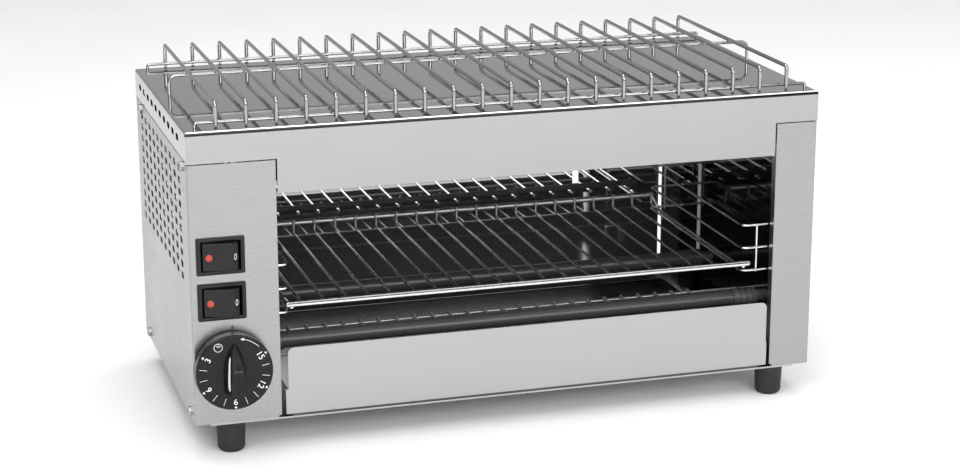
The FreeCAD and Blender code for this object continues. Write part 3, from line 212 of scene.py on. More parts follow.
# ------------------------------------------------------------------ materials
class Mat:
    def __init__(self, name):
        self.m = bpy.data.materials.new(name)
        self.m.use_nodes = True
        self.t = self.m.node_tree
        self.n, self.l = self.t.nodes, self.t.links
        self.bsdf = next(x for x in self.n if x.type == "BSDF_PRINCIPLED")
        self.co = self.n.new("ShaderNodeTexCoord")

    def set(self, **kw):
        for k, v in kw.items():
            self.bsdf.inputs[k.replace("_", " ")].default_value = v
        return self

    def noise(self, scale, size=(1, 1, 1), detail=3.0, rough=0.5, distort=0.0, turn=(0, 0, 0)):
        mp = self.n.new("ShaderNodeMapping")
        mp.inputs["Scale"].default_value = size
        mp.inputs["Rotation"].default_value = turn
        self.l.new(self.co.outputs["Object"], mp.inputs["Vector"])
        t = self.n.new("ShaderNodeTexNoise")
        t.inputs["Scale"].default_value = scale
        t.inputs["Detail"].default_value = detail
        t.inputs["Roughness"].default_value = rough
        t.inputs["Distortion"].default_value = distort
        self.l.new(mp.outputs["Vector"], t.inputs["Vector"])
        return t.outputs["Fac"]

    def voronoi(self, scale, size=(1, 1, 1), feature="F1"):
        mp = self.n.new("ShaderNodeMapping")
        mp.inputs["Scale"].default_value = size
        self.l.new(self.co.outputs["Object"], mp.inputs["Vector"])
        t = self.n.new("ShaderNodeTexVoronoi")
        t.feature = feature
        t.inputs["Scale"].default_value = scale
        self.l.new(mp.outputs["Vector"], t.inputs["Vector"])
        return t.outputs["Distance"]

    def map(self, src, a, b, lo, hi, smooth=False):
        m = self.n.new("ShaderNodeMapRange")
        m.interpolation_type = "SMOOTHSTEP" if smooth else "LINEAR"
        m.inputs["From Min"].default_value = a
        m.inputs["From Max"].default_value = b
        m.inputs["To Min"].default_value = lo
        m.inputs["To Max"].default_value = hi
        self.l.new(src, m.inputs["Value"])
        return m.outputs["Result"]

    def math(self, op, a, b):
        m = self.n.new("ShaderNodeMath")
        m.operation = op
        for i, s in enumerate((a, b)):
            if isinstance(s, (int, float)):
                m.inputs[i].default_value = s
            else:
                self.l.new(s, m.inputs[i])
        return m.outputs[0]

    def ramp(self, src, stops):
        r = self.n.new("ShaderNodeValToRGB")
        els = r.color_ramp.elements
        while len(els) < len(stops):
            els.new(0.5)
        for e, (p, c) in zip(els, stops):
            e.position = p
            e.color = (c[0], c[1], c[2], 1.0)
        self.l.new(src, r.inputs["Fac"])
        return r.outputs["Color"]

    def colour(self, src):
        self.l.new(src, self.bsdf.inputs["Base Color"])
        return self

    def roughness(self, src):
        self.l.new(src, self.bsdf.inputs["Roughness"])
        return self

    def bump(self, src, dist_mm, strength=1.0, after=None):
        b = self.n.new("ShaderNodeBump")
        b.inputs["Strength"].default_value = strength
        b.inputs["Distance"].default_value = dist_mm / 1000.0
        self.l.new(src, b.inputs["Height"])
        if after is not None:
            self.l.new(after, b.inputs["Normal"])
        self.l.new(b.outputs["Normal"], self.bsdf.inputs["Normal"])
        return b.outputs["Normal"]


def steel(name, tone, rough, spread, grain, bump_mm, tint=(1.0, 1.0, 0.99), wear=0.03, metallic=1.0, painted_fold_lines=None):
    """Stainless sheet: drawn grain, a faint cloud of handling marks, fine scratches."""
    m = Mat(name).set(Metallic=metallic, IOR=2.5)
    fine = m.noise(1.0, grain, 2.0, 0.6)
    cloud = m.noise(14.0, (1, 1, 1), 4.0, 0.55)
    rub = m.noise(55.0, (1, 1, 1), 3.0, 0.5, 0.6)
    mixed = m.math("ADD", m.map(fine, 0.3, 0.7, -spread, spread), m.map(cloud, 0.3, 0.75, -spread, spread * 1.3))
    mixed = m.math("ADD", mixed, m.map(rub, 0.62, 0.8, 0.0, spread * 1.5))
    mixed = m.math("ADD", mixed, rough)
    c0 = [tone * (1 - wear) * t for t in tint]
    c1 = [tone * (1 + wear * 0.6) * t for t in tint]
    shade = m.math("ADD", m.math("MULTIPLY", cloud, 0.6), m.math("MULTIPLY", fine, 0.4))
    if painted_fold_lines is None:
        m.colour(m.ramp(shade, [(0.3, c0), (0.7, c1)]))
    else:
        # painted highlight along the hood's front fold, with a painted dark line under it; the highlight band is also
        # made rougher
        y_front, z_line, z_mid = painted_fold_lines
        at = m.n.new("ShaderNodeSeparateXYZ")
        m.l.new(m.co.outputs["Object"], at.inputs["Vector"])
        front = m.map(at.outputs["Y"], y_front, y_front + 0.0001, 1.0, 0.0)
        above = m.map(at.outputs["Z"], z_mid, z_mid + 0.0001, 0.0, 1.0)
        line = m.map(at.outputs["Z"], z_line, z_line + 0.0001, 0.0, 1.0)
        fold_paint_zone = m.math("MULTIPLY", m.math("ADD", line, above), front)
        m.colour(m.ramp(m.math("ADD", m.math("MULTIPLY", shade, 0.3), m.math("MULTIPLY", fold_paint_zone, 0.35)),
                        [(0.09, c0), (0.21, c1), (0.33, c1), (0.40, [0.03] * 3), (0.62, [0.03] * 3), (0.72, [0.92] * 3)]))
        mixed = m.math("ADD", mixed, m.math("MULTIPLY", m.math("MULTIPLY", above, front), 0.30))
    m.roughness(mixed)
    m.bump(fine, bump_mm, 0.35)
    return m.m


# drawn along x on the hood and tray, along y on the side walls
SATIN_X = steel("steel_satin_x", 0.435, 0.20, 0.035, (9, 900, 900), 0.012)
SATIN_Y = steel("steel_satin_y", 0.372, 0.30, 0.035, (9, 9, 900), 0.012)
# the hood's front fold carries a painted highlight with a painted dark line under it
SATIN_TOP = steel("steel_hood", 0.385, 0.045, 0.014, (9, 900, 900), 0.004, painted_fold_lines=(-0.0932, 0.2178, 0.2197))
# the inside sheets are mirror-bright, their tones set very low: painted shade for the dim inside of the toaster
BRIGHT = steel("steel_dark_mirror", 0.075, 0.075, 0.02, (12, 12, 700), 0.006, tint=(1.0, 0.99, 0.98), wear=0.18)
BACK = steel("steel_back_mirror", 0.33, 0.022, 0.006, (12, 12, 700), 0.0005, tint=(1.0, 0.99, 0.98), wear=0.10, metallic=0.84)
LINER = steel("steel_liner_mirror", 0.10, 0.040, 0.008, (12, 12, 700), 0.0008, tint=(1.0, 0.99, 0.98), wear=0.12)
PAN = steel("steel_tray_pan", 0.10, 0.16, 0.03, (9, 700, 700), 0.010, tint=(1.0, 0.99, 0.97), wear=0.2)
OUTER = steel("steel_rear", 0.46, 0.18, 0.035, (12, 12, 700), 0.010)


def chrome(name, tone, rough, metallic=1.0, dull_and_shaded_from=None):
    m = Mat(name).set(Metallic=metallic, IOR=2.5)
    a = m.noise(160.0, (1, 1, 1), 3.0, 0.6)
    b = m.noise(900.0, (1, 1, 1), 2.0, 0.5)
    r = m.math("ADD", m.map(a, 0.35, 0.75, -0.03, 0.07), rough)
    if dull_and_shaded_from is not None:
        at = m.n.new("ShaderNodeSeparateXYZ")
        m.l.new(m.co.outputs["Object"], at.inputs["Vector"])
        # behind this depth the wires are rougher and their colour is painted darker: painted shade deep inside the
        # toaster
        dull_and_shaded = m.map(at.outputs["Y"], dull_and_shaded_from, dull_and_shaded_from + 0.001, 0.0, 1.0)
        r = m.math("ADD", r, m.math("MULTIPLY", dull_and_shaded, 0.42))
        # a dark line painted lengthwise along the front rail: a painted reflection
        mark = m.math("MULTIPLY", m.map(at.outputs["Z"], 0.09895, 0.09900, 0.0, 1.0), m.map(at.outputs["Z"], 0.09935, 0.09940, 1.0, 0.0))
        mark = m.math("MULTIPLY", mark, m.map(at.outputs["Y"], -0.0880, -0.0879, 1.0, 0.0))
        a = m.math("ADD", m.math("MULTIPLY", a, 0.4), m.math("ADD", m.math("MULTIPLY", dull_and_shaded, 0.36), m.math("MULTIPLY", mark, 0.74)))
        m.roughness(r)
        m.colour(m.ramp(a, [(0.12, [tone * 0.90] * 3), (0.25, [tone, tone, tone * 1.005]), (0.40, [tone, tone, tone * 1.005]),
                            (0.46, [tone * 0.66] * 3), (0.74, [tone * 0.80] * 3), (0.80, [0.02] * 3)]))
    else:
        m.roughness(r)
        m.colour(m.ramp(a, [(0.30, [tone * 0.90] * 3), (0.62, [tone, tone, tone * 1.005])]))
    m.bump(b, 0.02, 0.25)
    return m.m


CHROME = chrome("wire_chrome", 0.37, 0.12)
# the rear parts of these wires are painted darker, and the front rail carries a painted dark reflection line
CHROME_IN = chrome("wire_chrome_inside", 0.80, 0.05, 1.0, 0.0680)
CHROME_GUARD = chrome("wire_chrome_guard", 0.52, 0.34, 0.72)
PLATED = chrome("screw_plated", 0.46, 0.24)


def plastic(name, base, rough, grain_scale, grain_mm, spec=0.5, cloud=0.25):
    m = Mat(name).set(Specular_IOR_Level=spec)
    g = m.noise(grain_scale, (1, 1, 1), 4.0, 0.65)
    c = m.noise(40.0, (1, 1, 1), 3.0, 0.5)
    m.roughness(m.math("ADD", m.map(c, 0.3, 0.7, -0.05, 0.06), rough))
    m.colour(m.ramp(c, [(0.25, [b * (1 - cloud) for b in base]), (0.75, [b * (1 + cloud) for b in base])]))
    m.bump(g, grain_mm, 0.5)
    return m.m


BLACK = plastic("plastic_black_satin", (0.010, 0.010, 0.0105), 0.30, 2600.0, 0.03, 0.30)
DIAL = plastic("plastic_black_dial", (0.008, 0.008, 0.0085), 0.30, 2400.0, 0.03, 0.26)
WHITE_PLASTIC = plastic("plastic_white", (0.78, 0.78, 0.75), 0.45, 1800.0, 0.02, cloud=0.04)
CASE_PLASTIC = plastic("plastic_timer_case", (0.62, 0.61, 0.57), 0.45, 1600.0, 0.03, cloud=0.05)
INK = plastic("ink_white", (0.86, 0.86, 0.85), 0.55, 3000.0, 0.01, cloud=0.03)
INK_GREY = plastic("ink_grey", (0.07, 0.07, 0.07), 0.5, 3000.0, 0.01, cloud=0.08)
# flat white for the painted highlight on the wing's left flank
FLANK_HIGHLIGHT = plastic("white_flank_highlight", (0.90, 0.90, 0.89), 0.35, 2000.0, 0.01, cloud=0.02)

m = Mat("rubber_feet").set(Specular_IOR_Level=0.35)
g = m.noise(1500.0, (1, 1, 1), 4.0, 0.7)
d = m.noise(60.0, (1, 1, 1), 4.0, 0.6)
m.roughness(m.map(d, 0.3, 0.7, 0.52, 0.70))
m.colour(m.ramp(d, [(0.3, (0.014, 0.014, 0.014)), (0.6, (0.021, 0.021, 0.021)), (0.85, (0.040, 0.039, 0.037))]))
m.bump(g, 0.06, 0.5)
RUBBER = m.m

m = Mat("lens_red").set(IOR=1.49, Coat_Weight=0.25, Coat_Roughness=0.08, Transmission_Weight=0.10, Subsurface_Weight=0.12,
                        Subsurface_Scale=0.002)
g = m.voronoi(900.0)
m.roughness(m.map(g, 0.0, 0.7, 0.14, 0.26))
m.colour(m.ramp(g, [(0.1, (0.38, 0.022, 0.012)), (0.7, (0.52, 0.052, 0.022))]))
m.bump(g, 0.06, 0.5)
LENS = m.m

m = Mat("quartz_tube").set(IOR=1.46, Transmission_Weight=0.45, Specular_IOR_Level=0.6)
g = m.noise(30.0, (0.2, 3, 3), 4.0, 0.6)
h = m.noise(400.0, (1, 1, 1), 3.0, 0.6)
m.roughness(m.map(g, 0.3, 0.75, 0.28, 0.38))
m.colour(m.ramp(g, [(0.3, (0.075, 0.074, 0.073)), (0.7, (0.105, 0.104, 0.102))]))
m.bump(h, 0.01, 0.2)
QUARTZ = m.m

m = Mat("coil_wire").set(Metallic=0.9)
g = m.noise(500.0, (1, 1, 1), 3.0, 0.6)
m.roughness(m.map(g, 0.3, 0.7, 0.38, 0.62))
m.colour(m.ramp(g, [(0.3, (0.030, 0.029, 0.028)), (0.7, (0.080, 0.076, 0.072))]))
m.bump(g, 0.03, 0.5)
COIL = m.m

m = Mat("ceramic_cap")
g = m.noise(1200.0, (1, 1, 1), 4.0, 0.7)
d = m.noise(90.0, (1, 1, 1), 4.0, 0.6)
m.roughness(m.map(g, 0.3, 0.7, 0.28, 0.50))
m.colour(m.ramp(d, [(0.25, (0.030, 0.029, 0.027)), (0.7, (0.085, 0.082, 0.076))]))
m.bump(g, 0.08, 0.5)
CERAMIC = m.m

m = Mat("terminal_brass").set(Metallic=1.0)
g = m.noise(300.0, (1, 1, 1), 3.0, 0.6)
m.roughness(m.map(g, 0.3, 0.7, 0.22, 0.38))
m.colour(m.ramp(g, [(0.3, (0.55, 0.41, 0.18)), (0.7, (0.72, 0.56, 0.27))]))
BRASS = m.m


def sleeve(name, a, b):
    m = Mat(name).set(Specular_IOR_Level=0.45)
    g = m.noise(700.0, (1, 1, 1), 3.0, 0.6)
    d = m.noise(50.0, (1, 1, 1), 3.0, 0.5)
    m.roughness(m.map(g, 0.3, 0.7, 0.42, 0.58))
    m.colour(m.ramp(d, [(0.3, a), (0.7, b)]))
    m.bump(g, 0.05, 0.4)
    return m.m


SLEEVE = sleeve("sleeve_silicone", (0.42, 0.060, 0.035), (0.56, 0.085, 0.050))
SLEEVE_BLUE = sleeve("sleeve_blue", (0.04, 0.10, 0.36), (0.05, 0.13, 0.46))

# green and yellow: bands that wind round the sleeve
m = Mat("sleeve_earth").set(Specular_IOR_Level=0.45)
w = m.n.new("ShaderNodeTexWave")
w.inputs["Scale"].default_value = 90.0
w.inputs["Distortion"].default_value = 1.5
m.l.new(m.co.outputs["Object"], w.inputs["Vector"])
m.colour(m.ramp(w.outputs["Fac"], [(0.45, (0.03, 0.26, 0.05)), (0.55, (0.72, 0.60, 0.04))]))
m.roughness(m.map(m.noise(600.0), 0.3, 0.7, 0.42, 0.56))
SLEEVE_EARTH = m.m

m = Mat("floor_paper").set(Specular_IOR_Level=0.2)
g = m.noise(6.0, (1, 1, 1), 3.0, 0.5)
m.roughness(m.map(g, 0.3, 0.7, 0.80, 0.92))
m.colour(m.ramp(g, [(0.3, (0.86, 0.86, 0.86)), (0.7, (0.88, 0.88, 0.88))]))
FLOOR = m.m


def dress(names, mat):
    for n in names:
        o = nodes[n]
        o.data.materials.clear()
        o.data.materials.append(mat)


dress(["crumb_tray_front"], SATIN_X)
dress(["hood"], SATIN_TOP)
dress(["left_side_panel", "right_side_panel"], SATIN_Y)
dress(["base_pan"], OUTER)
dress(["rear_panel"], BACK)
dress(["ceiling_pan"], BRIGHT)
dress(["left_liner", "right_liner"], LINER)
dress(["crumb_tray_pan"], PAN)
dress(["top_warming_rack"], CHROME)
dress(["toast_rack", "left_runner_guide", "right_runner_guide"], CHROME_IN)
dress(["lower_guard_grid"], CHROME_GUARD)
dress(["side_screws_left", "side_screws_right", "rear_screws", "foot_screws", "timer_screws", "timer_shaft", "earth_stud"], PLATED)
dress(["terminal_block"], WHITE_PLASTIC)
dress(["timer_body"], CASE_PLASTIC)
dress(["cable_gland", "gland_nut"], BLACK)
dress(["tube_terminals"], BRASS)
dress([t + "_tube" for t in ("upper_front", "upper_rear", "lower_front", "lower_rear")], QUARTZ)
dress([t + "_caps" for t in ("upper_front", "upper_rear", "lower_front", "lower_rear")], CERAMIC)
dress(["live_wire", "timer_wire", "switch_link_wire", "upper_element_wire", "lower_element_wire", "upper_jumper", "lower_jumper"], SLEEVE)
dress(["upper_neutral_wire", "lower_neutral_wire"], SLEEVE_BLUE)
dress(["earth_wire"], SLEEVE_EARTH)


def place(ob, body, mat, replaces=()):
    if mat is not None:
        ob.data.materials.clear()
        ob.data.materials.append(mat)
    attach(ob, body)
    if replaces:
        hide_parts(*replaces)
    return ob


# ------------------------------------------------------------------ dial
KX, KZ = 25.4, 38.2


def smooth_closed(pts, per=6):
    """Catmull-Rom through a closed loop of 2-D points."""
    out = []
    n = len(pts)
    for i in range(n):
        p0, p1, p2, p3 = (Vector(pts[(i + k) % n]) for k in (-1, 0, 1, 2))
        for j in range(per):
            t = j / per
            out.append(0.5 * ((2 * p1) + (p2 - p0) * t + (2 * p0 - 5 * p1 + 4 * p2 - p3) * t * t + (3 * p1 - p0 - 3 * p2 + p3) * t ** 3))
    return out


disc = Lump()
disc.add(*lathe([(0.01, -11.0), (8, -11.0), (16, -11.0), (22, -11.0), (25.0, -11.0), (25.2, -10.95), (25.38, -10.8), (25.58, -10.4), (25.68, -10.0), (25.7, -9.5),
                 (25.7, -3.4), (25.62, -3.1), (25.3, -2.9), (25.3, -2.6), (25.62, -2.4), (25.7, -2.1), (25.7, -1.9), (25.5, -1.6),
                 (23.6, -1.6), (23.5, -1.8), (23.5, -8.4), (6.2, -8.4), (6.0, -8.2), (6.0, -2.8), (5.8, -2.6), (3.05, -2.6), (3.05, -10.0), (0.01, -10.0)],
                "y", (KX, 0, KZ), 128))
foot = [(0, 20.5), (-2.1, 18.2), (-3.8, 15.6), (-6.1, 9.5), (-7.2, 3), (-7.5, -3), (-7.4, -9), (-6.9, -13.2), (-5.2, -15.0), (0, -15.5),
        (5.2, -15.0), (6.9, -13.2), (7.4, -9), (7.5, -3), (7.2, 3), (6.1, 9.5), (3.8, 15.6), (2.1, 18.2)]
crest = [(0, 19.0), (-1.2, 17.0), (-2.3, 14.4), (-3.7, 8.8), (-4.2, 3), (-4.35, -2.5), (-4.3, -7.5), (-4.0, -10.4), (-3.0, -11.6), (0, -12.0),
         (3.0, -11.6), (4.0, -10.4), (4.3, -7.5), (4.35, -2.5), (4.2, 3), (3.7, 8.8), (2.3, 14.4), (1.2, 17.0)]
footS, crestS = smooth_closed(foot), smooth_closed(crest)


def wing_high(z):
    """How far the wing stands up: level along the lower half, falling away to the tip."""
    if z < 3.5:
        return 15.0
    t = min((z - 3.5) / 16.5, 1.0)
    return 15.0 - 12.6 * (t * t * (3 - 2 * t))


rings = []
LEV = [(0.0, 0.0), (0.05, 0.06), (0.2, 0.22), (0.4, 0.42), (0.6, 0.62), (0.78, 0.80), (0.86, 0.90), (0.93, 1.0), (0.975, 1.14), (0.995, 1.32), (1.0, 1.55)]
for up, across in LEV:
    ring = []
    for a, b in zip(footS, crestS):
        t = min(across, 1.0)
        # flanks are slightly hollow
        hollow = math.sin(math.pi * min(t, 1.0)) * 0.10
        x = a.x + (b.x - a.x) * (t + hollow)
        z = a.y + (b.y - a.y) * t
        if across > 1.0:
            k = 1.0 - (across - 1.0) * 0.55
            x *= k
            z = z - (across - 1.0) * (1.6 if z > 0 else -1.2) * (1 if abs(z) > 10 else abs(z) / 10.0)
        h = wing_high(z)
        ring.append((KX + x, -10.9 - (h - 0.1) * up, KZ + z))
    rings.append(ring)
last = rings[-1]
for k in (0.5, 0.02):
    rings.append([(KX + (p[0] - KX) * k, p[1] - 0.0, p[2]) for p in last])
v, f = rings_solid(rings, cap_first=True, cap_last=False)
n = len(rings[0])
disc.add(v, f)
knob = disc.done("dial_and_wing", angle=40.0)
place(knob, "dial", DIAL, ["timer_knob"])

# white stripe on the left flank of the wing: a painted highlight
strip = []
for i in range(25):
    z = -9.4 + 22.0 * i / 24
    e = min(i, 24 - i) / 3.0
    half = (0.92 - 0.012 * i) * (math.sqrt(max(0.0, 1 - (1 - min(e, 1.0)) ** 2)) + 0.05)

    def flank(z, up):
        # left flank point at height share 'up'
        best = min(range(len(footS)), key=lambda q: abs((footS[q].y + (crestS[q].y - footS[q].y) * up) - z) + (100 if footS[q].x > -2 else 0))
        a, b = footS[best], crestS[best]
        nb = [q for q in ((best - 1) % len(footS), (best + 1) % len(footS))]
        zb = a.y + (b.y - a.y) * up
        xb = a.x + (b.x - a.x) * (up + math.sin(math.pi * up) * 0.10)
        for q in nb:
            a2, b2 = footS[q], crestS[q]
            z2 = a2.y + (b2.y - a2.y) * up
            if abs(z2 - zb) > 1e-6 and min(zb, z2) - 1e-9 <= z <= max(zb, z2) + 1e-9:
                x2 = a2.x + (b2.x - a2.x) * (up + math.sin(math.pi * up) * 0.10)
                t = (z - zb) / (z2 - zb)
                return xb + (x2 - xb) * t
        return xb

    mid_up = 0.60
    w = half / 15.0 * 1.9
    pts = []
    for up, out in ((mid_up - w, -0.10), (mid_up - w, 0.10), (mid_up + w, 0.10), (mid_up + w, -0.10)):
        x = flank(z, up) - out
        pts.append((KX + x, -10.9 - (wing_high(z) - 0.1) * up * 0.985, KZ + z))
    strip.append(pts)
s = Lump()
s.add(*rings_solid(strip))
place(s.done("wing_flank_highlight"), "dial", FLANK_HIGHLIGHT)

# printed marks, a hair proud of the dial's face
FACE = -11.0
INK_T = 0.05
marks = Lump()


def polar(r, deg):
    a = math.radians(deg)
    return KX + r * math.sin(a), KZ + r * math.cos(a)


def flat(points, lump=marks, y=FACE, t=INK_T):
    """A closed flat figure on a face square to y, given as (x, z) corners."""
    n = len(points)
    v = [(x, y + 0.01, z) for x, z in points] + [(x, y - t, z) for x, z in points]
    f = [tuple(range(n)), tuple(reversed(range(n, 2 * n)))]
    for k in range(n):
        q = (k + 1) % n
        f.append((k, q, n + q, n + k))
    lump.add(v, f)


def stroke(points, width, lump=marks, y=FACE, t=INK_T, close=False):
    n = len(points)
    a, b = [], []
    for i in range(n):
        p = Vector(points[(i - 1) % n] if (close or i) else points[0])
        q = Vector(points[(i + 1) % n] if (close or i < n - 1) else points[-1])
        d = (q - p).normalized()
        nn = Vector((-d.y, d.x)) * width / 2
        c = Vector(points[i])
        a.append(c + nn)
        b.append(c - nn)
    rings = [[(u.x, y + 0.01, u.y), (u.x, y - t, u.y), (w.x, y - t, w.y), (w.x, y + 0.01, w.y)] for u, w in zip(a, b)]
    lump.add(*rings_solid(rings, closed=close))


for deg in (80, 100, 140, 160, 200, 220, 260, 280):
    stroke([polar(18.5, deg), polar(23.6, deg)], 0.28)
for deg in (60, 120, 180, 240, 300):
    c, s_ = math.cos(math.radians(deg)), math.sin(math.radians(deg))
    x0, z0 = polar(23.5, deg)
    flat([polar(24.95, deg), (x0 + 1.0 * c, z0 - 1.0 * s_), (x0 - 1.0 * c, z0 + 1.0 * s_)])
# arrow along the rim, pointing back to the hand-set side
stroke([polar(23.4, 15.5 + 29.3 * i / 12) for i in range(13)], 0.30)
hx, hz = polar(23.2, 10.8)
bx1, bz1 = polar(24.3, 16.2)
bx2, bz2 = polar(22.35, 16.4)
flat([(hx, hz), (bx1, bz1), (bx2, bz2)])
# clock picture
cx, cz = polar(20.9, -30.0)
stroke([(cx + 2.75 * math.sin(2 * math.pi * i / 36), cz + 2.75 * math.cos(2 * math.pi * i / 36)) for i in range(36)], 0.33, close=True)
stroke([(cx - 1.0, cz + 1.5), (cx - 0.25, cz + 0.15), (cx + 1.65, cz + 1.2)], 0.40)
stroke([(cx, cz + 2.75), (cx, cz + 1.6)], 0.33)
place(marks.done("dial_marks", smooth=False), "dial", INK)


def numeral(text, deg, r, high, name):
    """Printed number with its top towards the rim."""
    cu = bpy.data.curves.new(name, "FONT")
    cu.body = text
    cu.size = 1.0
    cu.align_x, cu.align_y = "CENTER", "CENTER"
    cu.extrude = 0.0
    cu.offset = 0.0
    cu.resolution_u = 6
    tmp = bpy.data.objects.new(name + "_c", cu)
    scene.collection.objects.link(tmp)
    bpy.context.view_layer.update()
    me = bpy.data.meshes.new_from_object(tmp.evaluated_get(bpy.context.evaluated_depsgraph_get()))
    bpy.data.objects.remove(tmp)
    bpy.data.curves.remove(cu)
    xs = [v.co.x for v in me.vertices]
    ys = [v.co.y for v in me.vertices]
    k = high / (max(ys) - min(ys))
    mx, my = (max(xs) + min(xs)) / 2, (max(ys) + min(ys)) / 2
    a = math.radians(deg)
    px, pz = polar(r, deg)
    bm = bmesh.new()
    bm.from_mesh(me)
    bmesh.ops.remove_doubles(bm, verts=bm.verts, dist=1e-5)
    geo = bmesh.ops.extrude_face_region(bm, geom=bm.faces[:])
    for v in geo["geom"]:
        if isinstance(v, bmesh.types.BMVert):
            v.co.z += 1.0
    for v in bm.verts:
        u, w = (v.co.x - mx) * k * 1.04, (v.co.y - my) * k
        x = px + u * math.cos(a) + w * math.sin(a)
        z = pz - u * math.sin(a) + w * math.cos(a)
        v.co = P(x, FACE + 0.01 - (INK_T + 0.01) * v.co.z, z)
    bmesh.ops.recalc_face_normals(bm, faces=bm.faces)
    bm.to_mesh(me)
    bm.free()
    ob = bpy.data.objects.new(name, me)
    scene.collection.objects.link(ob)
    return place(ob, "dial", INK)


for text, deg in (("15", 60), ("12", 120), ("9", 180), ("6", 240), ("3", 300)):
    numeral(text, deg, 20.2, 4.0, "dial_number_" + text)

# small pointer printed on the column above the dial
pt = Lump()
flat([(26.9, 67.7), (25.1, 64.8), (28.6, 64.8)], pt, 0.0, 0.06)
place(pt.done("dial_pointer", smooth=False), "casing", INK_GREY)

# ------------------------------------------------------------------ switches
SX = 20.4


def switch(prefix, zc):
    # housing: rounded frame, tapered mouth, body and blades behind the column
    hw, hh = 16.0, 12.6
    mw, mh = 13.1, 10.0

    def rr(w, h, r, n=5):
        out = []
        for q, (sx, sz) in enumerate(((1, 1), (-1, 1), (-1, -1), (1, -1))):
            for k in range(n + 1):
                b = math.pi / 2 * (q + k / n)
                out.append((SX + sx * (w - r) + r * math.cos(b), zc + sz * (h - r) + r * math.sin(b)))
        return out

    prof = [(hw, hh, 1.1, 0.0), (hw, hh, 1.1, -0.9), (hw - 0.12, hh - 0.12, 1.05, -1.25), (hw - 0.75, hh - 0.75, 0.9, -1.88),
            (hw - 1.0, hh - 1.0, 0.8, -2.0), (mw + 0.55, mh + 0.55, 0.75, -1.97), (mw + 0.2, mh + 0.2, 0.65, -1.85), (mw, mh, 0.5, -1.45),
            (mw, mh, 0.5, 6.0), (mw, mh, 0.5, 14.0)]
    rings = [[(x, y, z) for x, z in rr(w, h, r)] for w, h, r, y in prof]
    hs = Lump()
    v, f = rings_solid(rings, cap_first=False, cap_last=True)
    k = len(rings[0])
    back = [(14.8, 10.8, 0.8, 0.0), (14.8, 10.8, 0.8, 21.4), (14.2, 10.2, 0.7, 22.0)]
    rb = [[(x, y, z) for x, z in rr(w, h, r)] for w, h, r, y in back]
    vb, fb = rings_solid(rb, cap_first=False, cap_last=True)
    base = len(v)
    f = list(f)
    v = list(v) + list(vb)
    f += [tuple(i + base for i in q) for q in fb]
    for i in range(k):
        q = (i + 1) % k
        f.append((i, base + i, base + q, q))
    hs.add(v, f)
    for x in (11.4, 20.4, 29.4):
        hs.add(*soft_box((x - 0.4, 21.8, zc - 3.15), (x + 0.4, 30.0, zc + 3.15), 0.3, 2))
    place(hs.done(prefix + "_switch_frame", angle=38.0), "casing", BLACK, [prefix + "_switch_housing"])

    # rocker: wedge with rounded edges, trunnions at its sides
    plan = [(8.35, -2.0), (27.1, -6.9), (31.7, -2.7), (30.6, 6.5), (20.0, 9.5), (9.8, 6.5)]
    cut = [0.5, 0.8, 0.5, 1.0, 2.5, 1.0]
    loop = []
    for i, p in enumerate(plan):
        a, b, c = Vector(plan[i - 1]), Vector(p), Vector(plan[(i + 1) % len(plan)])
        u, w = (a - b).normalized(), (c - b).normalized()
        for j in range(6):
            t = j / 5
            s0, s1 = b + u * cut[i], b + w * cut[i]
            loop.append((s0 * (1 - t) ** 2 + b * 2 * t * (1 - t) + s1 * t * t))
    cen = Vector((20.0, 1.0))
    hz = 9.2
    rings = []
    R = 0.7
    for s_ in (-1, 1):
        seq = [(0, 1.0), (0.25, 0.62), (0.6, 0.22), (1.0, 0.0)]
        items = [(hz - R * q[1] * 0 - R * (1 - math.sqrt(max(0, 1 - (1 - q[0]) ** 2))) * 0, q) for q in seq]
        part = []
        for j in range(5):
            a = math.pi / 2 * j / 4
            inset = R * (1 - math.sin(a)) if s_ < 0 else R * (1 - math.cos(a))
            z = (hz - R + R * math.cos(a)) if s_ < 0 else (hz - R + R * math.sin(a))
            ring = []
            for q in loop:
                d = (cen - q)
                ring.append((q.x + d.x / max(abs(d.x) + abs(d.y), 1e-6) * inset * 1.0, q.y + d.y / max(abs(d.x) + abs(d.y), 1e-6) * inset * 1.0, zc + s_ * z))
            part.append(ring)
        rings += part
    rk = Lump()
    rk.add(*rings_solid(rings))
    rk.add(*lathe([(1.5, zc - 10.7), (1.5, zc - 8.6)], "z", (20.0, 1.8, 0), 20))
    rk.add(*lathe([(1.5, zc + 8.6), (1.5, zc + 10.7)], "z", (20.0, 1.8, 0), 20))
    place(rk.done(prefix + "_rocker_cap", angle=40.0), prefix + "_rocker", BLACK, [prefix + "_rocker"])

    # red lens with its black collar, set square to the long face
    tilt = math.atan2(4.9, 18.75)
    nrm = Vector((-math.sin(tilt), -math.cos(tilt), 0))
    tan = Vector((math.cos(tilt), -math.sin(tilt), 0))
    upv = Vector((0, 0, 1))
    c = Vector((12.4, -2.0 - (12.4 - 8.35) * 4.9 / 18.75, zc - 0.3))
    ln, co = Lump(), Lump()
    prof = [(0.01, -1.0), (2.35, -1.0), (2.35, 0.02), (2.28, 0.10), (2.0, 0.20), (1.4, 0.30), (0.7, 0.345), (0.01, 0.36)]
    rings = []
    for r, h in prof:
        rings.append([tuple(c + nrm * h + tan * (r * math.cos(2 * math.pi * k / 32)) + upv * (r * math.sin(2 * math.pi * k / 32))) for k in range(32)])
    ln.add(*rings_solid(rings))
    place(ln.done(prefix + "_pilot_lens", angle=50.0), prefix + "_rocker", LENS, [prefix + "_lens"])
    rings = []
    for r, h in ((2.38, -0.5), (2.38, 0.08), (2.5, 0.16), (2.72, 0.14), (2.85, 0.0), (2.85, -0.5)):
        rings.append([tuple(c + nrm * h + tan * (r * math.cos(2 * math.pi * k / 32)) + upv * (r * math.sin(2 * math.pi * k / 32))) for k in range(32)])
    co.add(*rings_solid(rings, closed=True))
    place(co.done(prefix + "_lens_collar", angle=50.0), prefix + "_rocker", BLACK)

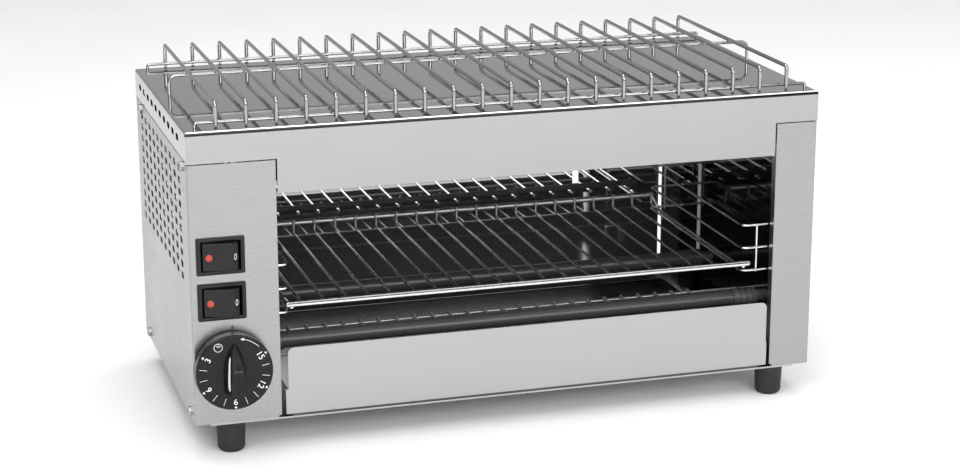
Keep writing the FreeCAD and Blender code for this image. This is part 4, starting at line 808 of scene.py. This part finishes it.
    # ring mark on the steep face
    p0, p1 = Vector((27.1, -6.9, 0)), Vector((31.7, -2.7, 0))
    d = (p1 - p0).normalized()
    nn = Vector((d.y, -d.x, 0))
    if nn.y > 0:
        nn = -nn
    c = p0 + d * 3.1 + Vector((0, 0, zc - 0.1))
    om = Lump()
    rings = []
    for k in range(40):
        a = 2 * math.pi * k / 40
        ring = []
        for w, h in ((0.86, -0.02), (0.86, 0.05), (1.18, 0.05), (1.18, -0.02)):
            ring.append(tuple(c + d * (w * 1.18 * math.cos(a)) + upv * (w * 1.75 * math.sin(a)) + nn * h))
        rings.append(ring)
    om.add(*rings_solid(rings, closed=True))
    place(om.done(prefix + "_off_mark", smooth=False), prefix + "_rocker", INK)


switch("upper", 115.3)
switch("lower", 84.3)

# ------------------------------------------------------------------ feet
for nm, x, y in (("foot_front_left", 25.5, 11.0), ("foot_front_right", 414.5, 11.0), ("foot_rear_left", 25.5, 203.0), ("foot_rear_right", 414.5, 203.0)):
    lf = Lump()
    prof = [(2.2, -1.5), (8.6, -1.5), (9.7, -1.55), (9.96, -1.8), (10.0, -2.3), (9.9, -3.6), (9.78, -4.1), (9.62, -8.0), (9.38, -14.0), (9.25, -18.6),
            (9.15, -19.8), (8.8, -20.9), (8.2, -21.8), (7.4, -22.35), (6.5, -22.5), (5.0, -22.5), (4.6, -22.35), (4.4, -22.0), (4.4, -12.6), (2.2, -12.5)]
    lf.add(*lathe(prof, "z", (x, y, 0), 56, closed=True))
    place(lf.done(nm + "_moulding", angle=40.0), "casing", RUBBER, [nm])

# ------------------------------------------------------------------ heating coils
for nm, y, z in (("upper_front", 45.0, 166.5), ("upper_rear", 152.0, 166.5), ("lower_front", 28.0, 44.5), ("lower_rear", 130.0, 44.5)):
    turns, per = 118, 9
    pts = []
    x0, x1 = 66.0, 388.0
    total = turns * per
    for i in range(total + 1):
        a = 2 * math.pi * i / per
        pts.append((x0 + (x1 - x0) * i / total, y + 2.75 * math.cos(a), z + 2.75 * math.sin(a)))
    pts = [(62.2, y, z), (64.2, y + 0.5, z)] + pts + [(390.2, y + 0.5, z), (391.8, y, z)]
    cl = Lump()
    cl.add(*tube(pts, 0.42, 5))
    place(cl.done(nm + "_wound_coil", angle=75.0), "casing", COIL, [nm + "_coil"])

# ------------------------------------------------------------------ weld marks where wires cross
top, rack, guide, guard = Lump(), Lump(), Lump(), Lump()


def weld(lump, p, half):
    k = 1 + rng.uniform(-0.12, 0.15)
    turn = Matrix.Rotation(rng.uniform(-0.3, 0.3), 3, "Z")
    lump.add(*bead(p, [h * k for h in half], 8, 5, turn))


for k in range(21):
    x = 21.8 + 19.9 * k
    weld(top, (x, 9.6 + 1.35, 200.6), (1.55, 0.75, 1.15))
    weld(top, (x, 211.6 - 1.35, 200.6), (1.55, 0.75, 1.15))
    weld(top, (x, 112.0, 213.2), (1.4, 1.2, 0.65))
    # rounded ends on the legs
    for y in (9.6, 211.6):
        top.add(*bead((x, y, 198.42), (1.38, 1.38, 0.3), 14, 6))
    x = 74.1 + 15.55 * k
    weld(rack, (x, 11.0, 76.2), (1.05, 1.05, 0.7))
    weld(rack, (x, 172.9, 84.0), (1.15, 0.7, 1.2))
    weld(rack, (x, 7.4, 77.2), (1.15, 1.0, 0.75))
for y in (9.8, 187.2):
    for z in (70.0, 86.4, 102.8):
        weld(guide, (56.5, y, z), (1.05, 0.75, 1.05))
        weld(guide, (402.0, y, z), (1.05, 0.75, 1.05))
for k in range(24):
    x = 80.2 + 13.05 * k
    for y, z in ((34.5, 32.8), (81.3, 34.3), (90.4, 27.2)):
        weld(guard, (x, y, z), (1.0, 1.0, 0.6))
place(top.done("warming_rack_welds", angle=60.0), "warming_rack", CHROME)
place(rack.done("toast_rack_welds", angle=60.0), "toast_rack", CHROME_IN)
place(guide.done("guide_welds", angle=60.0), "casing", CHROME_IN)
place(guard.done("guard_welds", angle=60.0), "casing", CHROME_IN)

# ------------------------------------------------------------------ stage
fv = [(-14, -14, -0.0002), (14, -14, -0.0002), (14, 14, -0.0002), (-14, 14, -0.0002)]
me = bpy.data.meshes.new("floor")
me.from_pydata(fv, [], [(0, 1, 2, 3)])
floor = bpy.data.objects.new("floor", me)
scene.collection.objects.link(floor)
me.materials.append(FLOOR)

# soft surroundings: mid grey at the horizon, light overhead
world = bpy.data.worlds.new("studio")
scene.world = world
world.use_nodes = True
wn, wl = world.node_tree.nodes, world.node_tree.links
wn.clear()
out = wn.new("ShaderNodeOutputWorld")
bg = wn.new("ShaderNodeBackground")
co = wn.new("ShaderNodeTexCoord")
sep = wn.new("ShaderNodeSeparateXYZ")
rp = wn.new("ShaderNodeValToRGB")
wl.new(co.outputs["Generated"], sep.inputs["Vector"])
wl.new(sep.outputs["Z"], rp.inputs["Fac"])
els = rp.color_ramp.elements
stops = [(0.0, 0.40), (0.20, 0.52), (0.42, 0.50), (0.52, 0.10), (0.70, 0.10), (0.78, 0.76), (1.0, 0.82)]
while len(els) < len(stops):
    els.new(0.5)
for e, (p_, c_) in zip(els, stops):
    e.position = p_
    e.color = (c_, c_, c_, 1)
wl.new(rp.outputs["Color"], bg.inputs["Color"])
bg.inputs["Strength"].default_value = 1.0
wl.new(bg.outputs["Background"], out.inputs["Surface"])


def area(name, loc, target, size, power, size_y=None):
    d = bpy.data.lights.new(name, "AREA")
    d.shape = "RECTANGLE"
    d.size = size
    d.size_y = size_y or size
    d.energy = power
    o = bpy.data.objects.new(name, d)
    o.location = loc
    o.rotation_mode = "QUATERNION"
    o.rotation_quaternion = (Vector(target) - Vector(loc)).to_track_quat("-Z", "Y")
    scene.collection.objects.link(o)
    return o


area("key", (-1.6, -1.9, 2.6), (0, 0, 0.1), 1.8, 48.0)
area("fill", (2.2, -1.2, 1.9), (0, 0, 0.1), 1.6, 18.0)
area("over", (0.0, 0.3, 2.6), (0, 0, 0.2), 2.4, 36.0, 1.4)
area("into", (0.15, -2.3, 1.05), (0.0, 0.1, 0.09), 2.0, 34.0, 0.9)

# ------------------------------------------------------------------ camera
cam = bpy.data.cameras.new("camera")
cam.sensor_width = 36.0
cam.lens = 83.73
cam.clip_start = 0.05
cam.clip_end = 60.0
camera = bpy.data.objects.new("camera", cam)
rot = Matrix(((0.95731361, 0.07969966, -0.27784639), (-0.2890493, 0.26038791, -0.92122127), (-0.00107318, 0.96220897, 0.27231002)))
camera.rotation_mode = "QUATERNION"
camera.rotation_quaternion = rot.to_quaternion()
camera.location = (-0.43927465, -1.47192307, 0.54414602)
scene.collection.objects.link(camera)
scene.camera = camera
scene.view_settings.view_transform = "Standard"
scene.view_settings.look = "None"
